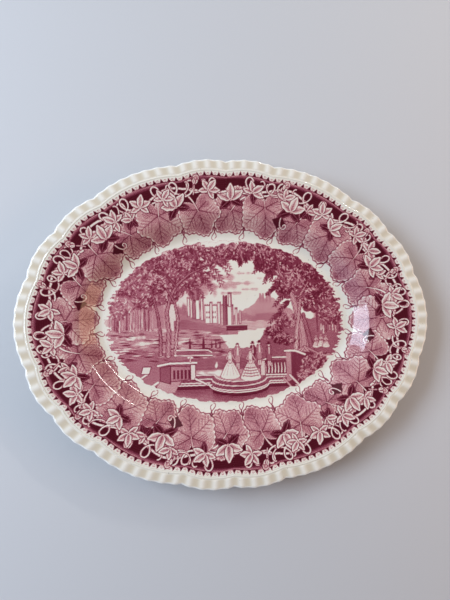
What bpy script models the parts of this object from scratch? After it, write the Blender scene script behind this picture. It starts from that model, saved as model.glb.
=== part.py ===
"""Oval serving platter in transfer-printed, glazed earthenware.

Lengths are in metres and +Z is up. The platter lies on its foot ring, which touches z = 0. The centre of
the oval is on the Z axis, its long axis is along X, and the top of its printed picture is towards +Y.

The clay body is one pressed and fired piece: well floor, cavetto wall, sloping rim, ribbed edge and foot
ring. The printed colour is laid on it in three transfers, one in the well and one on each half of the rim.

Every piece is first turned as if the platter were round, with its radius measured in from the edge. Each
vertex is then moved from that round platter to the same place on the lobed oval one.
"""

import math

import bmesh
import bpy
import numpy as np
from mathutils import Matrix

# Plan view. The outline is a base oval with lobes that meet in notches on the oval. The edge is ribbed, and
# each lobe takes a whole number of ribs. A group of lobes is repeated round the edge, and the first lobe of
# the first group is centred on the long axis.
OVAL_LENGTH = 0.3800
OVAL_WIDTH = 0.3024
LOBE_GROUPS = 6
LOBE_RIBS = (7, 4, 4)
LOBE_SWELLS = (0.0034, 0.0027, 0.0027)
LOBE_FULLNESS = 0.8  # under 1 makes a lobe fuller and its notches sharper

# Widths of the bands from the edge in to the well floor.
RIB_WIDTH = 0.0090
BEAD_WIDTH = 0.0030
RIM_WIDTH = 0.0330
CAVETTO_WIDTH = 0.0260

# Heights and thicknesses.
BASE_RECESS = 0.0025
FLOOR_THICKNESS = 0.0055
CAVETTO_RISE = 0.0150
RIM_RISE = 0.0075
BEAD_HEIGHT = 0.0006
RIB_HEIGHT = 0.0014
RIB_REACH = 0.0005
WALL = 0.0050
LIP_THICKNESS = 0.0044

# Foot ring, measured in from the well floor's edge.
FOOT_INSET = 0.0050
FOOT_WIDTH = 0.0055
FOOT_TAPER = 0.0015

# Printed transfers. They lie in a shallow seat, so that their faces are flush with the bead round them.
PRINT_THICKNESS = 0.0003
CLEARANCE = 0.0003
PICTURE_INSET = 0.0008  # the picture's edge, in from the well floor's edge

# How finely the curves are divided.
CAVETTO_STEPS = 7
RIB_STEPS = 2
LIP_STEPS = 3
ARC_STEPS = 3600

CREAM = (0.80, 0.76, 0.65, 1.0)
BORDER_RED = (0.33, 0.09, 0.15, 1.0)
PICTURE_RED = (0.53, 0.23, 0.28, 1.0)
GLAZE_ROUGHNESS = 0.12

RIBS = LOBE_GROUPS * sum(LOBE_RIBS)
PRINT_EDGE = RIB_WIDTH + BEAD_WIDTH
SHOULDER = PRINT_EDGE + RIM_WIDTH
WELL_EDGE = SHOULDER + CAVETTO_WIDTH
WELL_FLOOR = BASE_RECESS + FLOOR_THICKNESS
EDGE_HEIGHT = WELL_FLOOR + CAVETTO_RISE + RIM_RISE
PRINT_SEAT = PRINT_THICKNESS + CLEARANCE
LIP_RADIUS = LIP_THICKNESS / 2
LIP_HEIGHT = EDGE_HEIGHT - LIP_RADIUS
ROUND_RADIUS = OVAL_WIDTH / 2


def smooth(share):
    share = min(1.0, max(0.0, share))
    return share * share * (3 - 2 * share)


def run_round_oval():
    """Angles round the base oval, and the share of its edge that lies before each."""
    angles = np.linspace(0, math.tau, ARC_STEPS + 1)
    steps = np.hypot(np.diff(OVAL_LENGTH * np.cos(angles)), np.diff(OVAL_WIDTH * np.sin(angles)))
    run = np.concatenate([[0.0], np.cumsum(steps)])
    return angles, run / run[-1]


OVAL_ANGLES, OVAL_RUN = run_round_oval()


def lobe_swell(turn):
    """How far the lobe that crosses this share of the edge swells out from the base oval."""
    rib = (turn * RIBS + LOBE_RIBS[0] / 2) % sum(LOBE_RIBS)
    for ribs, swell in zip(LOBE_RIBS, LOBE_SWELLS):
        if rib < ribs:
            return swell * math.sin(math.pi * rib / ribs) ** LOBE_FULLNESS
        rib -= ribs
    return 0.0


def on_platter(inward, turn, height):
    """The place on the lobed, ribbed oval of a point given by its distance in from the edge."""
    edge_share = max(0.0, 1 - inward / RIB_WIDTH)
    crest = (1 + math.cos(math.tau * turn * RIBS)) / 2
    swell = lobe_swell(turn) * smooth((SHOULDER - inward) / RIM_WIDTH)
    out = swell + RIB_REACH * crest * edge_share - inward
    if height > LIP_HEIGHT:
        height += RIB_HEIGHT * crest * smooth(2 * edge_share)
    angle = np.interp(turn, OVAL_RUN, OVAL_ANGLES)
    return (OVAL_LENGTH / 2 + out) * math.cos(angle), (OVAL_WIDTH / 2 + out) * math.sin(angle), height


def face_height(inward):
    """Height of the glazed face, without its bead and ribs."""
    if inward >= WELL_EDGE:
        return WELL_FLOOR
    rim_slope = RIM_RISE / RIM_WIDTH
    if inward <= SHOULDER:
        return EDGE_HEIGHT - rim_slope * (inward - PRINT_EDGE)
    share = (WELL_EDGE - inward) / CAVETTO_WIDTH
    return WELL_FLOOR + CAVETTO_RISE * smooth(share) - rim_slope * CAVETTO_WIDTH * share**2 * (1 - share)


def printed_face():
    """Points (inward, height) down the printed face, from the bead to the edge of the well floor."""
    steps = [SHOULDER + CAVETTO_WIDTH * i / CAVETTO_STEPS for i in range(CAVETTO_STEPS + 1)]
    return [(inward, face_height(inward)) for inward in [PRINT_EDGE, (PRINT_EDGE + SHOULDER) / 2] + steps]


def underside():
    """Points under the wall, from the foot ring out to the print's edge: the face, one wall below it."""
    points = []
    for inward, height in reversed(printed_face()[:-1]):
        slope = math.atan2(height - face_height(inward + CLEARANCE), CLEARANCE)
        points.append((inward - WALL * math.sin(slope), height - WALL * math.cos(slope)))
    return points


def body_outline():
    """Points from the recess inside the foot, out under the platter, round its lip and in to the well."""
    foot_out = WELL_EDGE + FOOT_INSET
    foot_in = foot_out + FOOT_WIDTH
    points = [(foot_in + FOOT_TAPER, BASE_RECESS), (foot_in, 0.0), (foot_out, 0.0)]
    points += [(foot_out - FOOT_TAPER, BASE_RECESS), (WELL_EDGE, WELL_FLOOR - WALL)]
    points += underside()
    for i in range(LIP_STEPS + 1):
        angle = math.pi * (i / LIP_STEPS - 0.5)
        points.append((LIP_RADIUS - LIP_RADIUS * math.cos(angle), LIP_HEIGHT + LIP_RADIUS * math.sin(angle)))
    for i in range(1, RIB_STEPS + 1):
        share = i / RIB_STEPS
        points.append((LIP_RADIUS + (RIB_WIDTH - LIP_RADIUS) * share, EDGE_HEIGHT + BEAD_HEIGHT * share))
    points.append((PRINT_EDGE - CLEARANCE, EDGE_HEIGHT))
    return points + [(inward, height - PRINT_SEAT) for inward, height in printed_face()]


def turned(outline, start=0.0, sweep=math.tau, closed=False):
    """Turns an outline about the round platter's axis, one step to a rib, and fills what it leaves open."""
    bm = bmesh.new()
    verts = [bm.verts.new((ROUND_RADIUS - inward, 0.0, height)) for inward, height in outline]
    pairs = list(zip(verts, verts[1:]))
    if closed:
        pairs.append((verts[-1], verts[0]))
    for pair in pairs:
        bm.edges.new(pair)
    bmesh.ops.rotate(bm, verts=verts, matrix=Matrix.Rotation(start, 3, "Z"))
    steps = round(RIBS * sweep / math.tau)
    geom = bm.verts[:] + bm.edges[:]
    bmesh.ops.spin(bm, geom=geom, axis=(0, 0, 1), angle=sweep, steps=steps, use_merge=steps == RIBS)
    bmesh.ops.holes_fill(bm, edges=[edge for edge in bm.edges if edge.is_boundary], sides=0)
    return bm


def inward_of(vert):
    return ROUND_RADIUS - math.hypot(vert.co.x, vert.co.y)


def cut_crests(bm):
    """Adds a vertex for the crest of each rib, between the vertices in the grooves beside it."""
    ribbed = []
    for edge in bm.edges:
        first, second = edge.verts
        along_profile = abs(inward_of(first) - inward_of(second)) + abs(first.co.z - second.co.z)
        if along_profile < CLEARANCE / 10 and inward_of(first) < RIB_WIDTH + CLEARANCE:
            ribbed.append(edge)
    made = bmesh.ops.subdivide_edges(bm, edges=ribbed, cuts=1, use_grid_fill=True)["geom_inner"]
    for vert in made:
        if isinstance(vert, bmesh.types.BMVert):
            vert.co.xy /= math.cos(math.pi / RIBS)


def finish(bm, name, colour):
    """Moves the round piece's vertices to the oval platter, and makes it an object with its own glaze."""
    for vert in bm.verts:
        turn = math.atan2(vert.co.y, vert.co.x) / math.tau % 1.0
        vert.co = on_platter(inward_of(vert), turn, vert.co.z)
    bmesh.ops.recalc_face_normals(bm, faces=bm.faces)
    mesh = bpy.data.meshes.new(name)
    bm.to_mesh(mesh)
    bm.free()
    mesh.shade_smooth()
    mesh.set_sharp_from_angle(angle=math.radians(35))
    obj = bpy.data.objects.new(name, mesh)
    bpy.context.collection.objects.link(obj)
    material = bpy.data.materials.new(name)
    material.use_nodes = True
    shader = material.node_tree.nodes["Principled BSDF"]
    shader.inputs["Base Color"].default_value = colour
    shader.inputs["Roughness"].default_value = GLAZE_ROUGHNESS
    mesh.materials.append(material)
    return obj


def platter_body():
    """The pressed clay body, with the seat for the transfers in its face."""
    bm = turned(body_outline(), start=math.pi / RIBS)
    cut_crests(bm)
    finish(bm, "platter_body", CREAM)


def centre_print():
    """The picture's transfer, a flat oval sheet on the well floor."""
    inward = WELL_EDGE + PICTURE_INSET
    bm = turned([(inward, WELL_FLOOR - PRINT_THICKNESS), (inward, WELL_FLOOR)], start=math.pi / RIBS)
    finish(bm, "centre_print", PICTURE_RED)


def border_print(name, side):
    """Half of the border's transfer, down the rim and the cavetto. side is 1 towards +X, -1 towards -X."""
    upper = printed_face() + [(WELL_EDGE + PICTURE_INSET - CLEARANCE, WELL_FLOOR)]
    lower = [(inward, height - PRINT_THICKNESS) for inward, height in reversed(upper)]
    bm = turned(upper + lower, start=-side * math.pi / 2, sweep=math.pi, closed=True)
    obj = finish(bm, name, BORDER_RED)
    for vert in obj.data.vertices:
        vert.co.x = side * max(side * vert.co.x, CLEARANCE / 2)


for old in list(bpy.data.objects):
    bpy.data.objects.remove(old)

platter_body()
centre_print()
border_print("border_print_right", 1)
border_print("border_print_left", -1)
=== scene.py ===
# %% [markdown]
# # An oval serving platter with a printed vine border
#
# The real platter is pressed from cream clay, fired, printed from engraved copper plates, glazed and
# fired again. This script makes the same things in the same order: the clay, the drawing on the copper,
# the transfers laid on the clay, and the glaze over it all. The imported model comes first, because every
# size is taken from it.

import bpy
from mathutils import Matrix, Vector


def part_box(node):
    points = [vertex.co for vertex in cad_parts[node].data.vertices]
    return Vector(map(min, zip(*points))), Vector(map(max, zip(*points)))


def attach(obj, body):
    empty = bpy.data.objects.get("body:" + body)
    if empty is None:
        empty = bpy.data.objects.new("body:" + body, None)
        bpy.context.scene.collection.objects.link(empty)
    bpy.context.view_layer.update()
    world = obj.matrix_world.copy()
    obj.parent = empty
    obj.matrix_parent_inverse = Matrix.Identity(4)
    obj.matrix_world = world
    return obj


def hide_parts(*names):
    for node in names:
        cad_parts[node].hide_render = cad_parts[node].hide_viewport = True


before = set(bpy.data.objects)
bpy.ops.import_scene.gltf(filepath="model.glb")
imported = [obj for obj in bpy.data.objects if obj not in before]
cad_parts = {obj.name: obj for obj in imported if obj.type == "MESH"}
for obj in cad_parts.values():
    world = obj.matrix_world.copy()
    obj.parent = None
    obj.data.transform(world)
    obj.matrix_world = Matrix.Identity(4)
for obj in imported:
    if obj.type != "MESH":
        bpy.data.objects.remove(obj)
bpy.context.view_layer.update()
print("packed nodes:", sorted(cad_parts))

# %% [markdown]
# ## The driving sizes
#
# A pot is drawn as a plan and a section. The plan here is an oval with lobes that meet in notches, and
# the section is measured inwards from that oval, in millimetres, because a drawing with whole numbers is
# easier to read. The well's own node gives the oval: its picture lies a known distance in from the edge.

# %% The sizes, in millimetres
import math

import bmesh
import bpy
import numpy as np
from mathutils import Matrix, Vector

MM = 0.001
PICTURE_EDGE = 71.8
LOBE_RIBS = (7, 4, 4)
LOBE_SWELLS = (3.4, 2.7, 2.7)
LOBE_FULLNESS = 0.8
LOBE_GROUPS = 6
RIBS = LOBE_GROUPS * sum(LOBE_RIBS)

picture_low, picture_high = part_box("centre_print")
body_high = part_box("platter_body")[1]
OVAL_LENGTH = (picture_high[0] - picture_low[0]) / MM + 2 * PICTURE_EDGE
OVAL_WIDTH = (picture_high[1] - picture_low[1]) / MM + 2 * PICTURE_EDGE
WELL_FLOOR = picture_high[2] / MM
print(f"oval {OVAL_LENGTH:.1f} x {OVAL_WIDTH:.1f} mm, well floor {WELL_FLOOR:.1f} mm up, {RIBS} ribs")

# %% [markdown]
# ## The plan
#
# Ribs that a modeller presses by hand are evenly spaced along the edge, not by angle, so a place on the
# edge is given by its turn: the share of the edge's length that lies before it, from 0 to 1. Lobes and
# ribs are then plain waves along the turn.

# %% Places in plan
ANGLES = np.linspace(0, math.tau, 3601)
STEPS = np.hypot(np.diff(OVAL_LENGTH * np.cos(ANGLES)), np.diff(OVAL_WIDTH * np.sin(ANGLES)))
RUN = np.concatenate([[0.0], np.cumsum(STEPS)]) / np.sum(STEPS)
EDGE_LENGTH = np.sum(STEPS) / 2


def smooth(low, high, value):
    """0 below low, 1 above high, and a smooth rise between them."""
    share = np.clip((value - low) / (high - low), 0, 1)
    return share * share * (3 - 2 * share)


def lobe(turn):
    """How far along its lobe a place is, from 0 to 1, and how far the lobe swells there."""
    rib = (np.asarray(turn) * RIBS + LOBE_RIBS[0] / 2) % sum(LOBE_RIBS)
    share, size, start = np.zeros_like(rib), np.zeros_like(rib), 0
    for ribs, swell in zip(LOBE_RIBS, LOBE_SWELLS):
        inside = (rib >= start) & (rib < start + ribs)
        share = np.where(inside, (rib - start) / ribs, share)
        size = np.where(inside, swell, size)
        start += ribs
    return share, size * np.sin(np.pi * share) ** LOBE_FULLNESS


# How far in from the edge the rim, the cavetto, the well floor and the border print begin.
RIM_START, SHOULDER, WELL_EDGE = 12.0, 45.0, 71.0
PRINT_START = 11.3


def in_plan(turn, inward, reach=0.0):
    """x and y of a place, from its turn and its distance in from the edge."""
    out = lobe(turn)[1] * smooth(0, SHOULDER - RIM_START, SHOULDER - inward) + reach - inward
    angle = np.interp(np.asarray(turn) % 1.0, RUN, ANGLES)
    return (OVAL_LENGTH / 2 + out) * np.cos(angle), (OVAL_WIDTH / 2 + out) * np.sin(angle)


print(f"the edge is {EDGE_LENGTH:.0f} mm round, so its ribs are {EDGE_LENGTH / RIBS:.1f} mm apart")

# %% [markdown]
# ## The section
#
# From the edge inwards: a ribbed band, a raised bead, the sloping rim, the curved cavetto wall, and the
# flat well. One function gives the height of the glazed face, and the prints use it too, so they fit the
# clay exactly.

# %% Heights of the face
CAVETTO_RISE, RIM_RISE = 15.0, 7.5
BEAD_WIDTH, BEAD_RISE = 1.8, 0.35
RIB_WIDTH, RIB_RISE, RIB_REACH = 9.6, 0.6, 0.4
LIP_RADIUS = 2.2
EDGE_HEIGHT = WELL_FLOOR + CAVETTO_RISE + RIM_RISE
LIP_HEIGHT = EDGE_HEIGHT - LIP_RADIUS


def face_height(inward):
    """Height of the glazed face, without bead and ribs."""
    slope = RIM_RISE / (SHOULDER - RIM_START)
    across = WELL_EDGE - SHOULDER
    share = np.clip((WELL_EDGE - inward) / across, 0, 1)
    wall = CAVETTO_RISE * smooth(0, 1, share) - slope * across * share**2 * (1 - share)
    return WELL_FLOOR + wall + slope * np.clip(SHOULDER - inward, 0, SHOULDER - RIM_START)


print(f"the edge is {EDGE_HEIGHT:.1f} mm up, and the packed model is {body_high[2] / MM:.1f} mm high")

# %% [markdown]
# ## A section taken round the edge
#
# A lathe can't make an oval, and Blender's spin makes only circles. So each piece starts as a flat grid.
# Its rows follow the section and its columns follow the edge, and one formula moves every vertex to its
# place. Then the grid's meeting edges are merged, and what is still open is filled.

# %% Helpers that take a section round the edge
SHARP_ANGLE = 40

def new_piece(bm, name):
    """Makes the bmesh an object at the origin, with its faces turned outwards."""
    bmesh.ops.recalc_face_normals(bm, faces=bm.faces)
    mesh = bpy.data.meshes.new(name)
    bm.to_mesh(mesh)
    bm.free()
    mesh.shade_smooth()
    piece = bpy.data.objects.new(name, mesh)
    bpy.context.collection.objects.link(piece)
    return piece


def read_places(mesh):
    """The x, y and z of every vertex, as three arrays."""
    co = np.empty(len(mesh.vertices) * 3)
    mesh.vertices.foreach_get("co", co)
    return co.reshape(-1, 3).T


def write_places(mesh, x, y, height):
    """Moves every vertex. The places are in millimetres."""
    mesh.vertices.foreach_set("co", (np.stack([x, y, height], 1) * MM).ravel())
    mesh.update()


def carry_number(piece, name, values):
    """Gives each vertex of a piece a number that a material can read by its name."""
    attribute = piece.data.attributes.new(name, "FLOAT", "POINT")
    attribute.data.foreach_set("value", np.asarray(values, np.float32))


def taken_round(name, section, steps, first_turn=0.0, last_turn=1.0):
    """A grid piece for a section of (inward, height) points, with each vertex's turn, inward and height."""
    bm = bmesh.new()
    bmesh.ops.create_grid(bm, x_segments=steps, y_segments=len(section) - 1, size=1.0)
    piece = new_piece(bm, name)
    across, along, _ = read_places(piece.data)
    point = np.rint((along + 1) / 2 * (len(section) - 1)).astype(int)
    inward, height = np.array(section, float)[point].T
    return piece, first_turn + (last_turn - first_turn) * (across + 1) / 2, inward, height


def close_up(piece):
    """Merges edges that meet, fills what is open, and turns the faces outwards."""
    bm = bmesh.new()
    bm.from_mesh(piece.data)
    bmesh.ops.remove_doubles(bm, verts=bm.verts, dist=MM / 1000)
    bmesh.ops.holes_fill(bm, edges=[edge for edge in bm.edges if edge.is_boundary], sides=0)
    bmesh.ops.recalc_face_normals(bm, faces=bm.faces)
    bm.to_mesh(piece.data)
    bm.free()
    piece.data.shade_smooth()
    piece.data.set_sharp_from_angle(angle=math.radians(SHARP_ANGLE))


print("helpers ready, and edges sharper than", SHARP_ANGLE, "degrees stay crisp")

# %% [markdown]
# ## The clay body
#
# The section runs from the recess inside the foot, out under the wall, round the lip and back down the
# face. It is written as short runs of points, each an arc or a slope. The ribs are not in the section:
# they are a wave that lifts and pushes the face after it has been bent to the oval.

# %% The body's section
WALL, BASE_RECESS = 5.0, 2.5
FOOT_OUT, FOOT_WIDTH, FOOT_SLOPE, FOOT_ROUND = 76.0, 5.5, 1.5, 1.2
HAUNCH = 4.0  # where the underside starts to rise, out from the well's edge
BASE_FLAT, FLOOR_FLAT = 22.0, 20.0  # flat rows inside the foot and the well, before their middles are filled
CORNER_STEPS = 5

# The border prints lie in a seat. Print and seat share their rows, so the gap between them is even.
FACE_SEAT = 0.3
PRINT_END = WELL_EDGE + 0.7
SEAT_ROWS = [*np.linspace(PRINT_START + 0.1, SHOULDER - 2, 4), *np.linspace(SHOULDER, PRINT_END, 17)]


def rounded(points, radius):
    """The same run of points, with its inner corners rounded."""
    out = [points[0]]
    for before, corner, after in zip(points, points[1:], points[2:]):
        a, b, c = Vector(before), Vector(corner), Vector(after)
        start = b + (a - b).normalized() * min(radius, (a - b).length * 0.45)
        end = b + (c - b).normalized() * min(radius, (c - b).length * 0.45)
        for i in range(CORNER_STEPS + 1):
            t = i / CORNER_STEPS
            out.append(tuple(start * (1 - t) ** 2 + b * 2 * t * (1 - t) + end * t * t))
    return out + [points[-1]]


def body_section():
    """Points from the recess inside the foot, out under the wall, round the lip and in to the well."""
    foot_in, under_floor = FOOT_OUT + FOOT_WIDTH, WELL_FLOOR - WALL
    foot = [(foot_in + BASE_FLAT, BASE_RECESS), (foot_in + FOOT_SLOPE, BASE_RECESS), (foot_in, 0.0)]
    foot += [(FOOT_OUT, 0.0), (FOOT_OUT - FOOT_SLOPE, BASE_RECESS), (WELL_EDGE, under_floor)]
    foot += [(WELL_EDGE - HAUNCH, under_floor + 0.4)]
    under = []
    for inward in np.linspace(WELL_EDGE - HAUNCH, RIM_START, 22):
        slope = math.atan2(float(face_height(inward) - face_height(inward + 0.1)), 0.1)
        under.append((inward - WALL * math.sin(slope), float(face_height(inward)) - WALL * math.cos(slope)))
    lip = [(LIP_RADIUS * (1 - math.cos(a)), LIP_HEIGHT + LIP_RADIUS * math.sin(a))
           for a in np.linspace(-math.pi / 2, math.pi / 2, 13)]
    ribbed = [(inward, EDGE_HEIGHT) for inward in np.linspace(LIP_RADIUS + 0.5, RIB_WIDTH, 12)]
    bead = [(inward, EDGE_HEIGHT) for inward in np.linspace(RIB_WIDTH + 0.3, PRINT_START, 8)]
    seat = [(inward, float(face_height(inward)) - FACE_SEAT) for inward in [PRINT_START + 0.04, *SEAT_ROWS]]
    seat += [(WELL_EDGE + beyond, WELL_FLOOR - FACE_SEAT) for beyond in (4, FLOOR_FLAT)]
    return rounded(foot, FOOT_ROUND)[:-1] + under[1:] + lip + ribbed + bead + seat


print("points in the body's section:", len(body_section()))

# %% Make the body and raise its ribs
RIB_COLUMNS = 10
RIB_SHARPNESS = 1.7  # over 1 makes the crests narrower than the flutes


def rib_wave(turn):
    """1 on the crest of each rib and 0 in the flute beside it."""
    return 0.5 + 0.5 * np.cos(math.tau * turn * RIBS)


def ribbed_face(turn, inward, height):
    """Lifts the ribs and the bead, and returns x, y and height."""
    wave = rib_wave(turn)
    on_top = smooth(LIP_HEIGHT - 0.5, LIP_HEIGHT + 1.2, height)
    lift = RIB_RISE * wave**RIB_SHARPNESS * (1 - smooth(RIB_WIDTH - 1.6, RIB_WIDTH, inward)) * on_top
    bead = BEAD_RISE * np.sin(math.pi * np.clip((PRINT_START - inward) / BEAD_WIDTH, 0, 1)) * on_top
    x, y = in_plan(turn, inward, RIB_REACH * wave * np.clip(1 - inward / RIB_WIDTH, 0, 1))
    return x, y, height + lift + bead


body, turns, inwards, heights = taken_round("glazed_body", body_section(), RIBS * RIB_COLUMNS)
write_places(body.data, *ribbed_face(turns, inwards, heights))
# Masks for painted shade in the flutes and a painted highlight on the rib crests and the lip.
in_flute = 1 - rib_wave(turns) ** RIB_SHARPNESS
in_band = smooth(1.2, 2.6, inwards) * (1 - smooth(RIB_WIDTH - 1.5, RIB_WIDTH, inwards))
in_band *= heights > LIP_HEIGHT
carry_number(body, "flute", in_flute * in_band)
# The painted highlight is full on the lip and fainter on the rib crests.
on_lip = (1 - smooth(1.0, 2.0, inwards)) * smooth(LIP_HEIGHT - 1.2, LIP_HEIGHT, heights)
carry_number(body, "crest_and_lip_highlight", np.maximum(on_lip, 0.35 * (1 - in_flute) * in_band))
carry_number(body, "bare", 1 - smooth(0.1, 0.5, heights))
close_up(body)
print("body faces:", len(body.data.polygons))

# %% [markdown]
# ## The copper plate
#
# The printer's patterns are cut in copper, and the depth of a cut sets how much colour it holds. Here the
# plate is a board of small squares, one for each quarter of a millimetre, and each square holds its ink,
# from 0 to 1. Every shape is drawn by its depth: how far inside the shape's edge a square lies. That
# gives smooth edges at any size.

# %% The drawing board
CELL = 0.25
BOARD_X, BOARD_Y = 196.0, 158.0
SOFT_EDGE = 0.32
columns, rows = np.arange(-BOARD_X, BOARD_X + CELL / 2, CELL), np.arange(-BOARD_Y, BOARD_Y + CELL / 2, CELL)
X, Y = np.meshgrid(columns, rows)
ink = np.zeros(X.shape)
EVERYWHERE = slice(None), slice(None)
dice = np.random.default_rng(7)


def turn_and_inward(x, y):
    """The turn of a place in plan, and its distance in from the edge, found by halving."""
    low, high = np.full(x.shape, -8.0), np.full(x.shape, 95.0)
    for _ in range(15):
        middle = (low + high) / 2
        outside = (x / (OVAL_LENGTH / 2 - middle)) ** 2 + (y / (OVAL_WIDTH / 2 - middle)) ** 2 < 1
        low, high = np.where(outside, middle, low), np.where(outside, high, middle)
    inward = (low + high) / 2
    angle = np.arctan2(y / (OVAL_WIDTH / 2 - inward), x / (OVAL_LENGTH / 2 - inward)) % math.tau
    turn = np.interp(angle, ANGLES, RUN)
    swell = lobe(turn)[1]
    first_guess = inward + swell * smooth(0, SHOULDER - RIM_START, SHOULDER - inward)
    return turn, inward + swell * smooth(0, SHOULDER - RIM_START, SHOULDER - first_guess)


def square(low_x, high_x, low_y, high_y):
    """The part of the board that holds this box, as a pair of slices."""
    left, right = int((low_x + BOARD_X) / CELL), int((high_x + BOARD_X) / CELL) + 2
    bottom, top = int((low_y + BOARD_Y) / CELL), int((high_y + BOARD_Y) / CELL) + 2
    return slice(max(0, bottom), max(0, top)), slice(max(0, left), max(0, right))


def cover(depth):
    """How much of a square is covered, from its depth inside a shape."""
    return np.clip(0.5 + depth / SOFT_EDGE, 0, 1)


def lay(box, amount, tone):
    """Lays a tone of ink on part of the board, as thick as amount says."""
    ink[box] += (tone - ink[box]) * amount


def beside(x, y, heading, reach):
    """The board round a place, with the distances along a heading and across it."""
    box = square(x - reach, x + reach, y - reach, y + reach)
    away_x, away_y = X[box] - x, Y[box] - y
    c, s = math.cos(heading), math.sin(heading)
    return box, away_x * c + away_y * s, away_y * c - away_x * s


TURN, INWARD = turn_and_inward(X, Y)
print("the board is", X.shape[1], "by", X.shape[0], "squares")

# %% Lines and strokes
POINT_STEP = 0.35

def stroke(px, py, widths, tone, outline=0.0, outline_tone=1.0):
    """A line through close points. widths is one full width, or one for each point."""
    widths = np.broadcast_to(np.asarray(widths, float), np.shape(px))
    reach = float(widths.max()) / 2 + outline + 0.8
    box = square(np.min(px) - reach, np.max(px) + reach, np.min(py) - reach, np.max(py) + reach)
    depth = np.full(X[box].shape, -9.0)
    grid_x, grid_y = X[box], Y[box]
    near = int(reach / CELL) + 2
    for x, y, width in zip(px, py, widths):
        row = int((y + BOARD_Y) / CELL) - box[0].start
        column = int((x + BOARD_X) / CELL) - box[1].start
        part = slice(max(0, row - near), row + near + 1), slice(max(0, column - near), column + near + 1)
        depth[part] = np.maximum(depth[part], width / 2 - np.hypot(grid_x[part] - x, grid_y[part] - y))
    if outline:
        lay(box, cover(depth + outline), outline_tone)
    lay(box, cover(depth), tone)


def tapered(width, count, last=0.5):
    """Widths for a line that thins to a share of its first width."""
    return width * np.linspace(1, last, count)


def bending(x, y, heading, length, first_bend, last_bend):
    """Points on a curve whose bend, in degrees for each mm, changes evenly."""
    s = np.linspace(0, length, max(3, int(length / POINT_STEP)))
    ahead = heading + np.radians(first_bend * s + (last_bend - first_bend) * s**3 / (3 * length**2))
    go = s[1] - s[0]
    along = np.concatenate([[0], np.cumsum(np.cos(ahead[:-1]) * go)])
    return x + along, y + np.concatenate([[0], np.cumsum(np.sin(ahead[:-1]) * go)])


def facing_in(turn, inward):
    """x, y and the heading towards the middle, at a place on the border."""
    x, y = in_plan(turn, inward)
    next_x, next_y = in_plan(turn, inward + 1.0)
    return float(x), float(y), math.atan2(next_y - y, next_x - x)


print("a curve 10 mm long has", len(bending(0, 0, 0, 10, 0, 0)[0]), "points")

# %% [markdown]
# ## The border's leaves and flowers
#
# The border is a garland of broad vine leaves over a dark ground, with pale flowers and curling tendrils
# along a running stem. An engraver would repeat each motif by tracing it. A function does the same: it
# takes the motif's place on the edge, its lean and its size. Leaf shading is stipple, as rows of pale
# dots, with dark veins.

# %% Leaf, flower and bud
LEAF_LOBES = ((0, 32, 1.0), (56, 30, 0.95), (-56, 30, 0.95), (112, 32, 0.66), (-112, 32, 0.66))
DOT_ROW, DOT_GAP = 1.35, 1.55
LEAF_TEETH = 15
GROUND_END = 52.0


def off_by(angle, tip):
    """Degrees between an angle in radians and a tip in degrees, from -180 to 180."""
    return (np.degrees(angle) - tip + 180) % 360 - 180


def leaf_edge(angle, size):
    """The leaf's reach at each angle: five lobes, a notch at the stalk, and fine teeth."""
    reach = np.zeros_like(angle)
    for tip, wide, tall in LEAF_LOBES:
        reach = np.maximum(reach, tall * (0.80 + 0.20 * np.exp(-2.2 * (off_by(angle, tip) / wide) ** 2)))
    reach *= 1 - 0.72 * np.exp(-((off_by(angle, 180) / 34) ** 2))
    teeth = 0.5 - np.abs((angle * LEAF_TEETH / math.pi + 0.5) % 1 - 0.5)
    return size * reach * (0.965 + 0.09 * teeth)


def leaf_veins(tone, r, angle, size):
    """Adds a vein down each lobe, with four slanting side veins."""
    for tip, length in ((0, 0.9), (56, 0.84), (-56, 0.84), (112, 0.5), (-112, 0.5)):
        away = off_by(angle, tip)
        across, along = np.radians(away) * r, r * np.cos(np.radians(away))
        bowed = np.abs(across + 0.6 * np.sin(r / size * 3.0))
        vein = cover(0.40 * (1 - 0.7 * r / size) - bowed) * (r < length * size) * (np.abs(away) < 60)
        tone = tone + (0.92 - tone) * vein * 0.9
        for k in range(1, 5):
            start = length * size * (0.22 + 0.17 * k)
            side = cover(0.26 - np.abs(along - start - np.abs(across) * 0.9) * 0.74)
            side = side * (np.abs(across) < size * 0.26 * (1.15 - 0.17 * k)) * (np.abs(away) < 32)
            tone = tone + (0.88 - tone) * side * 0.65
    return tone


def vine_leaf(turn, inward, lean, size, tone):
    """A broad leaf. lean is its turn, in degrees, from pointing at the middle."""
    x, y, heading = facing_in(turn, inward)
    box, p, q = beside(x, y, heading + math.radians(lean), size * 1.15)
    r, angle = np.hypot(p, q), np.arctan2(q, p)
    depth = leaf_edge(angle, size) - r
    on_dark = 1 - smooth(GROUND_END - 4, GROUND_END + 4, INWARD[box])
    lay(box, cover(depth + 0.9) * 0.55, 0.95)
    folds = 0.12 * np.cos(angle * 2.5) * smooth(0, size * 0.8, r)
    shade = tone - 0.07 + folds + 0.12 * (1 - smooth(0, size * 0.5, r))
    around = math.tau * np.round(r / DOT_ROW) * DOT_ROW
    dots = np.cos(math.tau * r / DOT_ROW) * np.cos(around * angle / DOT_GAP)
    shade = shade - 0.26 * smooth(0.25, 0.8, dots)
    lay(box, cover(depth), np.clip(leaf_veins(shade, r, angle, size), 0, 1))
    bead = 0.5 + 0.5 * np.cos(angle * 30)
    lay(box, cover(0.6 - np.abs(depth - 0.7)), 0.02 + 0.30 * (1 - bead))
    lay(box, cover(0.28 - np.abs(depth + 0.05)) * (1 - on_dark), 0.88)


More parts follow.
